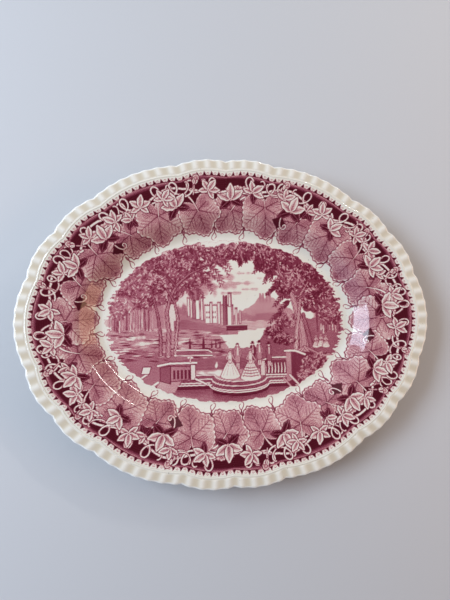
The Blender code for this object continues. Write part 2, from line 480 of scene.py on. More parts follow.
def petal(box, p, q, angle, length, width, dark, shade, bow=0.0):
    """One pointed petal, pale with an engraved middle, or dark where it hangs over the leaves."""
    c, s = math.cos(angle), math.sin(angle)
    along, across = p * c + q * s, q * c - p * s
    t = np.clip(along / length, 0, 1)
    across = across - bow * length * t * t
    wavy = 0.20 * np.sin(t * 7.5) ** 2 * np.where(across > 0, 1, 0.5)
    half = width / 2 * (np.sin(math.pi * t**0.9) ** 0.75 + 0.9 * wavy)
    depth = np.minimum(half - np.abs(across), np.minimum(along + 0.3, (length - along) * 1.1))
    lay(box, cover(depth + 0.6), 1.0)
    inner = cover(depth - 0.95)
    if dark:
        lay(box, cover(depth), 0.62)
        lay(box, cover(depth - 0.45), 0.97)
        lay(box, inner * cover(0.25 - np.abs(across)), 0.55)
    else:
        middle = smooth(0.0, 1.0, 1 - np.abs(across) / np.maximum(half, 0.3))
        lay(box, cover(depth), 0.0)
        lay(box, inner, 0.06 + shade * middle * (1.3 - 1.1 * t))
        lay(box, inner * cover(0.17 - np.abs(across)) * (t < 0.85), 0.85)


PETALS = ((0, 1.0), (57, 0.92), (-55, 0.95), (118, 0.84), (-115, 0.8))
PETAL_WIDTH, PETAL_SHADE, FLOWER_SCALE = 0.49, 0.43, 1.06
DARK_PETALS_FROM = 38.0


def flower(turn, inward, lean, size):
    """Five petals, the outer ones laid first, on a small eye."""
    x, y, heading = facing_in(turn, inward)
    size *= FLOWER_SCALE
    tilt = math.radians(lean)
    box, p, q = beside(x, y, heading + math.pi + tilt, size * 1.2)
    for degrees, share in sorted(PETALS, key=lambda item: -abs(item[0])):
        angle, reach = math.radians(degrees), size * share
        tip = inward - math.cos(angle + tilt) * reach
        bow = math.copysign(0.10, degrees if degrees else -1)
        petal(box, p, q, angle, reach, reach * PETAL_WIDTH, tip > DARK_PETALS_FROM, PETAL_SHADE, bow)
    r = np.hypot(p, q)
    lay(box, cover(1.2 - r), 0.1)
    lay(box, cover(0.5 - r), 0.8)


def bud(turn, inward, lean, size):
    """A round bud on a short stalk, with two small leaves under it."""
    x, y, heading = facing_in(turn, inward)
    heading += math.pi + math.radians(lean)
    px, py = bending(x, y, heading, size * 1.2, 3, -3)
    stroke(px, py, 0.9, 0.08, 0.35)
    box, p, q = beside(px[-1], py[-1], heading, size * 1.3)
    long, wide = size * 0.5, size * 0.36
    depth = (1 - np.hypot((p - long) / long, q / wide)) * wide
    lay(box, cover(depth + 0.5), 1.0)
    lay(box, cover(depth), 0.06)
    lay(box, cover(depth - 0.7), 0.45)
    lay(box, cover(0.5 - np.hypot((p - long * 1.1) / 2, q - long * 0.1)), 0.12)
    for side in (-1, 1):
        petal(box, p + 0.6, q, side * 0.42, size * 0.62, size * 0.30, False, 0.4)


print("a leaf has", len(LEAF_LOBES), "lobes, and a flower has", len(PETALS), "petals")

# %% [markdown]
# ## Stem, tendrils and ground
#
# A tendril's curl is the path of a point on a rolling wheel, so two waves draw it: one along the edge and
# one across. The ground is dark colour with faint hatching. A shaded ribbon runs just inside its outer
# edge, and dips and swells with the lobes. Outside the ground stands a row of small teeth with an arch
# and a dot between each pair.

# %% Stem, tendrils, teeth and ground
TOOTH_COUNT = 146
TOOTH_START, TOOTH_SLOPE = 11.9, 14
ARCH_END, ARCH_RADIUS = 14.4, 1.25
GROUND_START, RIBBON_START = 15.0, 15.9
TENDRIL_RADIUS, TENDRIL_WIDTH = 6.6, 1.6
STEM_INWARD, STEM_WAVE, STEM_WAVES, STEM_WIDTH = 26.0, 4.4, 2.0, 1.4


def tendril(turn, inward, along, count):
    """A curling tendril with count loops, along mm apart. It runs clockwise where along is positive."""
    t = np.linspace(0, math.tau * count, int(60 * count) + 2)
    shrink = 1 - 0.30 * np.linspace(0, 1, len(t))
    run = along * t / math.tau + math.copysign(1, along) * TENDRIL_RADIUS * shrink * np.sin(t)
    px, py = in_plan(turn - run * 1.18 / EDGE_LENGTH, inward + TENDRIL_RADIUS * shrink * np.cos(t))
    stroke(px, py, TENDRIL_WIDTH * shrink, 0.05, 0.42)


def stem(first_turn, last_turn, phase):
    """The running stem, with small knots along it."""
    share = np.linspace(0, 1, int(abs(last_turn - first_turn) * 3000))
    turns = first_turn + (last_turn - first_turn) * share
    px, py = in_plan(turns, STEM_INWARD + STEM_WAVE * np.sin(math.tau * STEM_WAVES * share + phase))
    knots = 1 + 0.45 * ((np.arange(len(share)) * 0.9) % 2 > 1)
    stroke(px, py, STEM_WIDTH * knots, 0.07, 0.45)


def border_ground():
    """The dark ground, the shaded ribbon along its outer edge, and the row of teeth."""
    hatching = 0.975 + 0.025 * np.sin(math.tau * INWARD / 0.95)
    ground = smooth(GROUND_START, GROUND_START + 0.3, INWARD)
    ink[:] = hatching * ground * (1 - smooth(GROUND_END - 0.5, GROUND_END, INWARD))
    share = lobe(TURN)[0]
    below = INWARD - (RIBBON_START + 0.35 * np.sin(math.tau * share))
    fading = 1.4 + 2.4 * np.sin(math.pi * share) ** 0.8
    lay(EVERYWHERE, cover(below) * (1 - smooth(0.3, fading, below)) * 0.85, 0.52)
    lay(EVERYWHERE, cover(0.22 - np.abs(below)) * 0.8, 0.25)
    beat = (TURN * TOOTH_COUNT) % 1.0
    in_band = (INWARD > PRINT_START) & (INWARD < GROUND_START + 0.3)
    tooth = cover(INWARD - TOOTH_START - TOOTH_SLOPE * np.abs(beat - 0.5)) * in_band
    from_gap = np.minimum(beat, 1 - beat) * EDGE_LENGTH / TOOTH_COUNT
    arch = cover(0.24 - np.abs(np.hypot(from_gap, INWARD - ARCH_END) - ARCH_RADIUS))
    arch = arch * (INWARD < ARCH_END) * in_band
    dot = cover(0.4 - np.hypot(from_gap, INWARD - 14.3))
    for shape, tone in ((tooth, 0.97), (dot, 0.5), (arch, 0.55)):
        ink[:] = np.maximum(ink, tone * shape)


print(f"the border's teeth are {EDGE_LENGTH / TOOTH_COUNT:.1f} mm apart")

# %% [markdown]
# ## Composing the border
#
# The lobes repeat six times, and the garland takes three different groups of motifs, each used twice. A
# place is given by its group and its share of the group, clockwise from the top. Thin sprigs come first,
# then the leaves, and then what lies over them: stalks, stem, tendrils, buds and flowers.

# %% The three groups of motifs
GROUPS = (
    dict(
        leaves=((0.10, 37, 150, 16, 0.45), (0.66, 38, -150, 15, 0.50), (0.04, 45, -34, 23, 0.52),
                (0.27, 40, 20, 28, 0.48), (0.52, 46, -14, 22, 0.54), (0.77, 41, 24, 27, 0.50)),
        flowers=((0.55, 33, -70, 9), (0.17, 29, -46, 11.5), (0.64, 29, 34, 11), (0.90, 28, -20, 10.1),
                 (0.38, 29, -50, 10.1), (0.03, 36, 8, 14.3), (0.45, 38, 6, 14.3), (0.75, 37, -20, 12)),
        buds=((0.34, 30, -22, 8.5), (0.97, 30, 26, 8)),
        tendrils=((0.235, 23.5, 12, 1.9), (0.545, 23.5, -12, 1.5), (0.57, 24.5, 12, 0.95),
                  (0.83, 23.5, 12.5, 1.9), (0.10, 22.5, 12, 1.6), (0.38, 22.5, -12, 1.4),
                  (0.72, 22.5, 12, 1.5)),
        curl=0.40,
    ),
    dict(
        leaves=((0.35, 38, 160, 16, 0.45), (0.93, 38, -140, 15, 0.50), (0.02, 43, 18, 25, 0.50),
                (0.27, 46, -24, 22, 0.53), (0.51, 40, 8, 28, 0.47), (0.78, 45, -28, 23, 0.52)),
        flowers=((0.20, 34, 64, 9), (0.03, 28, -34, 11), (0.36, 28, -30, 10.6), (0.58, 28, 40, 10.6),
                 (0.82, 29, -44, 10.6), (0.13, 36, 22, 12.9), (0.42, 38, -8, 14.3),
                 (0.89, 36, 10, 12.9)),
        buds=((0.25, 30, 18, 8), (0.70, 29, -18, 8.5)),
        tendrils=((0.085, 23.5, 12, 0.95), (0.19, 23.5, 12.5, 1.9), (0.50, 24, 12, 1.0),
                  (0.64, 23.5, 12.5, 2.0), (0.97, 23.5, -12, 1.0), (0.31, 22.5, 12, 1.5),
                  (0.47, 22.5, -12, 1.4), (0.84, 22.5, 12, 1.5)),
        curl=0.655,
    ),
    dict(
        leaves=((0.20, 38, -155, 16, 0.48), (0.60, 38, 140, 15, 0.45), (0.03, 41, -10, 27, 0.48),
                (0.29, 46, 26, 22, 0.53), (0.53, 41, -18, 27, 0.49), (0.80, 44, 16, 24, 0.51)),
        flowers=((0.36, 35, 66, 9), (0.09, 28, -40, 10.1), (0.27, 29, 38, 11), (0.45, 29, -30, 11),
                 (0.89, 28, -36, 11), (0.15, 37, -10, 13.8), (0.66, 38, 12, 14.3),
                 (0.60, 29, -48, 10.1)),
        buds=((0.03, 30, 22, 8), (0.79, 30, -28, 8.5)),
        tendrils=((0.06, 23.5, 12, 0.95), (0.31, 24, 12, 1.1), (0.53, 23.5, 12.5, 1.9),
                  (0.74, 23.5, 12.5, 1.6), (0.96, 23.5, -12, 1.0), (0.20, 22.5, 12, 1.5),
                  (0.42, 22.5, -12, 1.4), (0.64, 22.5, 12, 1.5)),
        curl=0.16,
    ),
)


print("motifs:", {name: sum(len(group[name]) for group in GROUPS) for name in ("leaves", "flowers", "buds")})


# %% Draw the border
BIG_LEAF = 20


def place(group, share):
    """The turn of a place that lies a share of the way along a group."""
    return 0.25 - (group + share) / LOBE_GROUPS


def inner_sprigs(group):
    """Thin curling sprigs between the leaf tips, on the plain cream."""
    for share in (0.15, 0.40, 0.655, 0.91):
        x, y, heading = facing_in(place(group, share), 59.0)
        for side, length in ((1, 15), (-1, 12)):
            px, py = bending(x, y, heading + 0.5 * side, length, -14 * side, 46 * side)
            stroke(px, py, tapered(1.1, len(px)), 0.78)
        px, py = bending(x, y, heading - 0.2, 11, 30, -60)
        stroke(px, py, 0.8, 0.6)


def curl_in_a_gap(group, share):
    """A dark gap between two leaves, with one curl in it."""
    x, y, heading = facing_in(place(group, share), 50.0)
    box, p, q = beside(x, y, heading, 12)
    lay(box, cover(5.5 - np.abs(p) - 0.72 * np.abs(q) - 0.25 * np.sin(p * 2)), 0.96)
    px, py = bending(x - 4 * math.cos(heading), y - 4 * math.sin(heading), heading, 20, 4, 52)
    stroke(px, py, 1.1, 0.06, 0.3)


def leaf_stalk(turn, inward, lean, size):
    """A pale stalk from the middle of a big leaf out to the stem. It starts as a fine midrib."""
    x, y, heading = facing_in(turn, inward)
    heading += math.radians(lean)
    x, y = x + 0.35 * size * math.cos(heading), y + 0.35 * size * math.sin(heading)
    px, py = bending(x, y, heading + math.pi, size * 1.1, 0.0, math.copysign(4, lean))
    stroke(px, py, tapered(1.7, len(px), 0.15)[::-1], 0.05, 0.25)


def over_the_leaves(group, motifs):
    """All that lies over the leaves of one group, from the stalks up to the flowers."""
    curl_in_a_gap(group, motifs["curl"])
    for share, inward, lean, size, _ in motifs["leaves"]:
        if size > BIG_LEAF:
            leaf_stalk(place(group, share), inward, lean, size)
    stem(place(group, 0), place(group, 1), (group % 3) * 1.3)
    for share, *rest in motifs["tendrils"]:
        tendril(place(group, share), *rest)
    for share, *rest in motifs["buds"]:
        bud(place(group, share), *rest)
    for share, *rest in motifs["flowers"]:
        flower(place(group, share), *rest)


def draw_border():
    border_ground()
    for group in range(LOBE_GROUPS):
        inner_sprigs(group)
    for group in range(LOBE_GROUPS):
        for share, *rest in GROUPS[group % 3]["leaves"]:
            vine_leaf(place(group, share), *rest)
    for group in range(LOBE_GROUPS):
        over_the_leaves(group, GROUPS[group % 3])


draw_border()
border_ink = ink.copy()
print(f"border drawn: {100 * float(np.mean(border_ink > 0.5)):.0f} % of the board is dark")

# %% [markdown]
# ## The picture in the well
#
# The well carries a romantic park view, as such platters do: a castle over a lake, tall trees at both
# sides, and a few strolling figures on a terrace. It is drawn from back to front, like a stage set, in
# millimetres from the middle of the well. Sky and ground are ruled lines, foliage is thousands of small
# leaf strokes, and stonework is plain tone with an inked edge. The figures and the castle are generic.

# %% Tools for drawing the picture
PICTURE_X, PICTURE_Y = 116.5, 78.7
LINE = 0.28


def ruled(box, pitch, amount, slope=0.0, wave=0.0):
    """Engraved lines: a small change of tone, up and down across the pitch."""
    x, y = X[box], Y[box]
    return amount * np.sin(math.tau * (y + slope * x + wave * np.sin(x / 9.0 + y / 5.0)) / pitch)


def area(points, tone, pitch=0.0, amount=0.0, edge=None):
    """A convex outline filled with a tone. Its points run anticlockwise."""
    xs, ys = zip(*points)
    box = square(min(xs) - 0.5, max(xs) + 0.5, min(ys) - 0.5, max(ys) + 0.5)
    depth = np.full(X[box].shape, 99.0)
    for (x0, y0), (x1, y1) in zip(points, points[1:] + points[:1]):
        side = ((x1 - x0) * (Y[box] - y0) - (y1 - y0) * (X[box] - x0)) / math.hypot(x1 - x0, y1 - y0)
        depth = np.minimum(depth, side)
    lines = ruled(box, pitch, amount) if pitch else 0
    lay(box, cover(depth), tone + lines)
    if edge is not None:
        lay(box, cover(LINE - np.abs(depth - 0.1)), edge)


def land(skyline, bottom, tone, pitch=1.2, amount=0.08, slope=0.0):
    """Ground whose top follows points from left to right, down to bottom."""
    xs, ys = zip(*skyline)
    box = square(xs[0], xs[-1], bottom, max(ys) + 3)
    x, y = X[box], Y[box]
    top = np.interp(x, xs, ys) + 0.5 * np.sin(x / 2.3) + 0.3 * np.sin(x / 0.9)
    inside = (x >= xs[0]) & (x <= xs[-1]) & (y >= bottom)
    lay(box, cover(top - y) * inside, tone + ruled(box, pitch, amount, slope, 0.6))


def mist(x, y, wide, tall, tone, pitch=1.1, amount=0.08):
    """A soft patch with an uneven edge: a cloud, or light on the grass."""
    box = square(x - wide * 1.4, x + wide * 1.4, y - tall * 1.6, y + tall * 1.6)
    p, q = (X[box] - x) / wide, (Y[box] - y) / tall
    soft = smooth(0.0, 0.7, 1 - np.hypot(p, q) + 0.22 * np.sin(p * 7 + x) + 0.12 * np.sin(p * 17))
    lay(box, soft, tone + ruled(box, pitch, amount))


def dab(x, y, size, heading, tone, narrow=0.5):
    """One touch of the graver: a small oval, longer along its heading."""
    box, p, q = beside(x, y, heading, size + 0.6)
    lay(box, cover((1 - np.hypot(p / size, q / (size * narrow))) * size * narrow), tone)


def line(points, width, tone, outline=0.0, outline_tone=1.0):
    """A line through a few points, with its corners rounded. width may be (first, last)."""
    points = np.array(points, float)
    run = np.concatenate([[0], np.cumsum(np.hypot(*np.diff(points, axis=0).T))])
    s = np.linspace(0, run[-1], max(2, int(run[-1] / 0.3)))
    x, y = np.interp(s, run, points[:, 0]), np.interp(s, run, points[:, 1])
    near = min(len(x) // 6, 9)
    if near > 1:
        even = np.ones(near) / near
        x, y = (np.convolve(np.pad(v, near, mode="reflect", reflect_type="odd"), even, "same")[near:-near]
                for v in (x, y))
    first, last = width if isinstance(width, tuple) else (width, width)
    stroke(x, y, np.linspace(first, last, len(x)), tone, outline, outline_tone)
    return x, y


def draw(*layers):
    """Draws layers in turn, and says how dark the board is after them."""
    for layer in layers:
        layer()
    print("drawn:", ", ".join(layer.__name__ for layer in layers), f"- mean ink {float(np.mean(ink)):.3f}")


print(f"the picture is {2 * PICTURE_X:.0f} x {2 * PICTURE_Y:.0f} mm")

# %% Foliage and trees
TWIG_LEAVES, TWIG_LEAF = 13, 2.5
BARK_LINES = ((-0.33, 0.75, 0.5), (-0.1, 0.6, 0.3), (0.12, 0.55, 0.3), (0.3, 0.8, 0.4))

def clump(x, y, wide, tall, count, dark, light, size=1.9):
    """A rounded mass of leaves, light on top and dark below."""
    for _ in range(int(10 + wide * tall * 0.05)):
        angle, share = dice.uniform(0, math.tau), dice.uniform(0.3, 0.85)
        blob = dice.uniform(0.28, 0.42) * min(wide, tall) + 1.5
        blob_x, blob_y = x + wide * share * math.cos(angle), y + tall * share * math.sin(angle)
        dab(blob_x, blob_y, blob, dice.uniform(0, 3), dark, 0.8)
    for _ in range(int(count * 1.35)):
        angle, share = dice.uniform(0, math.tau), math.sqrt(dice.uniform(0, 1))
        leaf_x, leaf_y = x + wide * share * math.cos(angle), y + tall * share * math.sin(angle)
        shaded = dice.uniform() > 0.55 + 0.3 * math.sin(angle) * share
        tone = dark + 0.16 if shaded else light + dice.uniform(-0.06, 0.12)
        reach, heading = size * dice.uniform(0.55, 1.15), dice.uniform(0.2, 2.9)
        dab(leaf_x, leaf_y, reach, heading, min(1, tone), dice.uniform(0.3, 0.5))
        if dice.uniform() < 0.5:
            dab(leaf_x - 0.3, leaf_y - 0.5, reach * 0.8, heading, min(1, dark + 0.22), 0.16)


def spray(x, y, heading, length, droop, tone):
    """A hanging twig with leaves along both sides."""
    px, py = bending(x, y, heading, length, droop, droop * 1.6)
    stroke(px, py, tapered(0.7, len(px), 0.4), min(1, tone + 0.15))
    for k in range(TWIG_LEAVES):
        i = int((k + 1) / TWIG_LEAVES * (len(px) - 1))
        ahead = math.atan2(py[i] - py[i - 1], px[i] - px[i - 1])
        reach = TWIG_LEAF * (1.1 - 0.5 * k / TWIG_LEAVES)
        turned = ahead + (1 if k % 2 else -1) * dice.uniform(0.45, 0.9)
        leaf_x, leaf_y = px[i] + math.cos(turned) * reach * 0.8, py[i] + math.sin(turned) * reach * 0.8
        dab(leaf_x, leaf_y, reach, turned, min(1, tone + dice.uniform(-0.12, 0.12)), 0.34)


def trunk(points, foot, top, tone=0.34):
    """A trunk or branch, with lines of bark that follow it."""
    x, y = line(points, (foot, top), tone, 0.4, 0.9)
    width, along_x, along_y = np.linspace(foot, top, len(x)), np.gradient(x), np.gradient(y)
    length = np.hypot(along_x, along_y) + 1e-9
    for off, bark, thin in BARK_LINES:
        across = off * width + 0.25 * np.sin(np.arange(len(x)) * 0.3 + off * 20)
        stroke(x - along_y / length * across, y + along_x / length * across, thin, bark)


def wood(left, right, gap, low, high, tones):
    """A row of thin trunks seen against the dark of a wood."""
    for x in np.arange(left, right, gap):
        x, foot = x + dice.uniform(-0.8, 0.8), low - dice.uniform(0, 3)
        bends = [(x, foot), (x + dice.uniform(-1, 1), (foot + high) / 2), (x + dice.uniform(-2, 2), high)]
        line(bends, (dice.uniform(0.9, 1.7), 0.6), dice.choice(tones), 0.2, 0.85)


print("lines of bark on each trunk:", len(BARK_LINES))

# %% Masonry and figures
STONE_EDGE = 0.68
WINDOW_WIDTH, WINDOW_HEIGHT, WINDOW_TONE = 0.8, 1.8, 0.75
HEAD = 0.062  # a head's radius, as a share of its figure's height


def slab(x0, x1, y0, y1, tone, edge=None, pitch=0.0, amount=0.0):
    """An upright rectangle of tone."""
    area([(x0, y0), (x1, y0), (x1, y1), (x0, y1)], tone, pitch, amount, edge)


def tower(x0, x1, y0, y1, tone, shade=None, merlons=0):
    """An upright block, shaded on its right and with battlements on top."""
    slab(x0, x1, y0, y1, tone, STONE_EDGE)
    if shade:
        slab(x0 + (x1 - x0) * 0.62, x1, y0, y1, shade, pitch=1.0, amount=0.06)
    wide = (x1 - x0) / max(1, 2 * merlons - 1)
    for k in range(merlons):
        slab(x0 + 2 * k * wide, x0 + (2 * k + 1) * wide, y1 - 0.2, y1 + 1.1, tone, STONE_EDGE)


def windows(x0, x1, y, count):
    """A row of small dark windows."""
    for k in range(count):
        x = x0 + (x1 - x0) * (k + 0.5) / count
        slab(x - WINDOW_WIDTH / 2, x + WINDOW_WIDTH / 2, y, y + WINDOW_HEIGHT, WINDOW_TONE)


def small_head(x, y, r, hat=None):
    """A plain head seen from far off, with no features."""
    dab(x, y, r * 1.15, math.pi / 2, 0.85, 0.82)
    dab(x, y - 0.1 * r, r * 0.95, math.pi / 2, 0.1, 0.8)
    dab(x, y + 0.55 * r, r * 0.9, 0, 0.8, 0.5)
    if hat == "tall":
        brim, top = y + r * 0.6, y + r * 2
        area([(x - r * 0.75, brim), (x + r * 0.75, brim), (x + r * 0.7, top), (x - r * 0.7, top)], 0.88)
        line([(x - r * 1.3, y + r * 0.65), (x + r * 1.3, y + r * 0.65)], 0.6, 0.88)
    if hat == "bonnet":
        dab(x + 0.2 * r, y + 0.45 * r, r * 1.35, 0.3, 0.55, 0.6)
        line([(x - r * 1.2, y + r * 0.4), (x + r * 1.1, y + r * 0.9)], 0.5, 0.2)


def lady(x, y, tall, tone=0.06, flounces=0):
    """A figure in a bell skirt, tall mm high, standing on y."""
    wide = tall * 0.30
    for swell, shade, narrow in ((0.5, 0.85, 0.32), (0.0, tone, 0.34)):
        for t in np.linspace(0, 1, 9):
            dab(x, y + tall * 0.55 * t, wide * (1 - t) ** 0.75 + tall * 0.05 + swell, 0, shade, narrow)
    for fold in np.linspace(-0.9, 0.9, 5):
        bends = [(x + fold * wide * s, y + tall * h) for s, h in ((0.15, 0.52), (0.5, 0.3), (0.95, 0.02))]
        line(bends, 0.3, 0.6)
    for k in range(flounces):
        low = y + tall * (0.06 + 0.09 * k)
        reach = wide * (1 - (low - y) / (tall * 0.6)) ** 0.7
        line([(x - reach, low), (x, low - 0.9), (x + reach, low)], 0.7, 0.7)
    line([(x, y + tall * 0.52), (x, y + tall * 0.8)], tall * 0.13, tone + 0.1, 0.3, 0.85)
    for side in (-1, 1):
        shoulder = x + side * tall * 0.06, y + tall * 0.76
        elbow = x + side * tall * 0.14, y + tall * 0.61
        hand = x + tall * 0.09 * (1 + side), y + tall * 0.56
        line([shoulder, elbow, hand], 0.9, 0.2, 0.2, 0.8)
    small_head(x, y + tall * 0.89, tall * HEAD, "bonnet")


def gentleman(x, y, tall, coat, hat="tall"):
    """A figure in a long coat, tall mm high, standing on y."""
    for side in (-1, 1):
        foot, hip = (x + side * tall * 0.035, y), (x + side * tall * 0.03, y + tall * 0.42)
        line([foot, hip], tall * 0.065, 0.2, 0.25, 0.85)
    line([(x, y + tall * 0.3), (x, y + tall * 0.78)], (tall * 0.2, tall * 0.15), coat, 0.3, 0.9)
    line([(x + tall * 0.01, y + tall * 0.5), (x + tall * 0.01, y + tall * 0.76)], tall * 0.04, 0.1)
    for side in (-1, 1):
        bends = [(x + side * tall * s, y + tall * h) for s, h in ((0.08, 0.76), (0.13, 0.58), (0.1, 0.45))]
        line(bends, tall * 0.05, coat, 0.2, 0.9)
    small_head(x, y + tall * 0.87, tall * HEAD, hat)


print(f"a head is {100 * 2 * HEAD:.0f} % of its figure's height")

# %% [markdown]
# ## Drawing the view
#
# Each function below draws one layer. The sky is lightest at the right, where the light comes from, and
# the trees at the right are the darkest things, so the eye goes between them to the castle.

# %% Sky, hills and castle


def sky():
    """Ruled sky, darker to the left, with clouds of (x, y, width, height, tone)."""
    ink[:] = 0.01 + 0.20 * smooth(25, -75, X) + 0.05 * np.sin(math.tau * Y / 1.1) * smooth(10, -60, X)
    for x, y, wide, tall, tone in ((-8, 42, 26, 4.5, 0.32), (10, 36, 22, 3.0, 0.32), (-16, 33, 30, 5.5, 0.40),
                                   (24, 30, 13, 2.0, 0.27), (6, 26.5, 16, 2.2, 0.30), (-30, 27, 22, 6, 0.42),
                                   (34, 41, 9, 1.4, 0.2), (16, 46, 12, 2, 0.26)):
        mist(x, y, wide, tall, tone, 1.05, 0.10)


def far_shore():
    """Hills with a few rocks on top, and the lake in front of them."""
    hills = [(8, 6), (20, 11), (28, 17), (34, 24), (38, 21), (41, 25), (44, 22), (50, 18), (58, 12), (66, 8)]
    land(hills, -4, 0.38, 1.1, 0.10, 0.35)
    for x in (33, 36, 39.5, 43):
        slab(x - 0.9, x + 0.9, 17, 26 + x % 3, 0.44)
    land([(0, 2), (14, 7), (26, 4), (40, 7), (60, 3)], -6, 0.46, 1.0, 0.10, -0.2)
    land([(2, -1), (60, -1.5)], -30, 0.28, 1.1, 0.16)
    land([(-14, -11), (0, -12), (20, -10.5), (46, -8)], -30, 0.02, 1.3, 0.03)


def castle():
    """A long low front with a gatehouse at each end, on a wooded bank."""
    land([(-50, 10), (-42, 12), (-36, 4), (-20, 1), (-8, -3), (2, -5), (10, -7)], -14, 0.44, 1.2, 0.12)
    for x in (-46, -41, -29, -14, -2, 11):
        mist(x, 14 - abs(x + 30) * 0.25, 5.5, 6.5, 0.50, 1.1, 0.10)
    tower(-39, -36, 4, 22, 0.10, 0.45, 2)
    tower(-34, -27, 2, 30, 0.48, 0.64, 3)
    tower(-31, -27, 1, 20, 0.05)
    tower(-26, -23, 0, 26, 0.12, 0.5, 2)
    tower(-22, -4, -3, 14.5, 0.07, 0.30, 9)
    for low in (7.5, 2.5):
        windows(-21, -11, low - 0.5, 5)
        windows(0.5, 4.5, low, 2)
    tower(-17, -14.5, -3, 17, 0.06, 0.45, 2)
    tower(-9.5, -6.5, -4, 17, 0.06, 0.45, 2)
    tower(-4, 0, -5, 23, 0.55, 0.66, 2)
    tower(0, 6, -6, 14, 0.08, 0.42, 4)
    tower(1.2, 4.6, 13, 26, 0.12, 0.5, 3)
    line([(2.9, 23), (2.9, 27)], 0.5, 0.55)
    tower(7.5, 10, -6, 11, 0.06, 0.4, 2)
    tower(11.5, 13.5, -4, 9, 0.2, 0.42)
    land([(-52, 0), (-40, 1), (-28, -2), (-14, -5), (0, -8)], -14, 0.52, 1.1, 0.12)
    slab(-1, 19, -10, -5.5, 0.75, 0.88, 1.0, 0.12)
    line([(-1, -5.2), (19, -5.2)], 0.8, 0.12, 0.2, 0.85)


def meadow():
    """Grass on both sides, with patches of sun and touches of shade."""
    far = [(-117, -6), (-100, -7), (-80, -8), (-60, -10), (-40, -9), (-24, -10), (-6, -16), (0, -26)]
    near = [(-117, -22), (-90, -26), (-60, -30), (-30, -27), (0, -28), (40, -27), (70, -30), (117, -24)]
    land(far, -70, 0.40, 1.3, 0.14)
    land(near, -75, 0.52, 1.2, 0.15)
    for patch in ((-92, -15, 14, 3.0), (-78, -21, 16, 2.2), (-100, -28, 10, 1.6), (-40, -20, 9, 1.4)):
        mist(*patch, 0.10, 1.3, 0.10)
    for _ in range(170):
        x, y = dice.uniform(-112, -2), dice.uniform(-38, -9)
        dab(x, y, dice.uniform(1.5, 5), dice.normal(0, 0.06), dice.choice([0.7, 0.8, 0.2]), 0.12)
    land([(30, -22), (36, -14), (42, -8), (50, -4), (60, -2), (80, 0), (117, 2)], -45, 0.58, 1.2, 0.12)


def woods():
    """The dark of the wood behind the trees at each end, and its thin trunks."""
    left, right = square(-117, -60, -8, 40), square(84, 117, -16, 30)
    fade = smooth(-117, -112, X[left]) * smooth(-56, -64, X[left]) * smooth(-9, -6, Y[left])
    lay(left, fade, 0.42 + ruled(left, 1.1, 0.08))
    wood(-112, -72, 3.0, -7, 25, (0.15, 0.22, 0.3, 0.6))
    lay(right, smooth(84, 90, X[right]) * smooth(-17, -13, Y[right]), 0.55 + ruled(right, 1.1, 0.08))
    wood(90, 115, 3.2, -12, 24, (0.15, 0.22, 0.3, 0.65))


draw(sky, far_shore, castle, meadow, woods)

# %% Trees at both sides
# A mass of leaves is (x, y, width, height, leaves, dark, light). A twig is (x, y, heading, length, droop).
LEFT_MASSES = (
    (-88, 26, 24, 14, 190, 0.52, 0.22), (-104, 14, 12, 12, 90, 0.46, 0.22),
    (-74, 44, 22, 13, 200, 0.56, 0.24), (-96, 34, 16, 10, 110, 0.54, 0.26),
    (-52, 56, 26, 12, 230, 0.60, 0.25), (-62, 30, 20, 14, 190, 0.56, 0.23),
    (-40, 44, 20, 13, 180, 0.58, 0.25), (-24, 60, 26, 10, 200, 0.62, 0.27),
    (-80, 20, 12, 8, 90, 0.54, 0.24), (-40, 70, 22, 8, 160, 0.58, 0.26), (-66, 60, 16, 8, 120, 0.56, 0.26))
RIGHT_MASSES = (
    (30, 66, 34, 9, 230, 0.74, 0.38), (58, 56, 30, 14, 260, 0.80, 0.40), (84, 40, 24, 17, 250, 0.80, 0.42),
    (98, 20, 17, 16, 180, 0.78, 0.38), (64, 34, 18, 12, 160, 0.72, 0.34), (84, 20, 14, 11, 130, 0.76, 0.36),
    (4, 68, 26, 7, 150, 0.70, 0.32), (104, 4, 12, 12, 90, 0.70, 0.36), (60, -2, 12, 7, 90, 0.68, 0.34),
    (46, -14, 9, 6, 70, 0.66, 0.3), (92, 48, 20, 10, 140, 0.82, 0.44), (20, 72, 22, 6, 120, 0.72, 0.36))
LEFT_TWIGS = (
    (-30, 50, -0.5, 22, -1.6), (-26, 44, -0.7, 20, -1.4), (-34, 38, -0.8, 20, -1.0),
    (-18, 54, -0.45, 24, -1.9), (-14, 60, -0.3, 24, -2.2), (-38, 32, -1.1, 14, -0.5),
    (-8, 62, -0.4, 18, -2.2), (-22, 48, -0.2, 22, -2.4))
RIGHT_TWIGS = (
    (46, 50, -2.3, 16, 1.4), (40, 58, -2.6, 17, 1.4), (56, 40, -2.5, 22, 0.8), (54, 34, -2.7, 16, 1.0),
    (60, 26, -2.5, 18, 0.9), (34, 64, -2.0, 12, 1.0), (24, 67, -2.2, 11, 1.2), (64, 18, -2.6, 14, 0.9),
    (48, 52, -2.0, 14, 1.2), (56, 8, -2.6, 18, 0.8), (14, 64, -1.6, 10, 0.5))


def crown(masses, darker, lighter, leaf, twigs, twig_tone):
    """All the leaves of one side's trees: the masses first, then the hanging twigs."""
    for *mass, dark, light in masses:
        clump(*mass, dark + darker, light + lighter, leaf)
    for twig in twigs:
        spray(*twig, twig_tone)


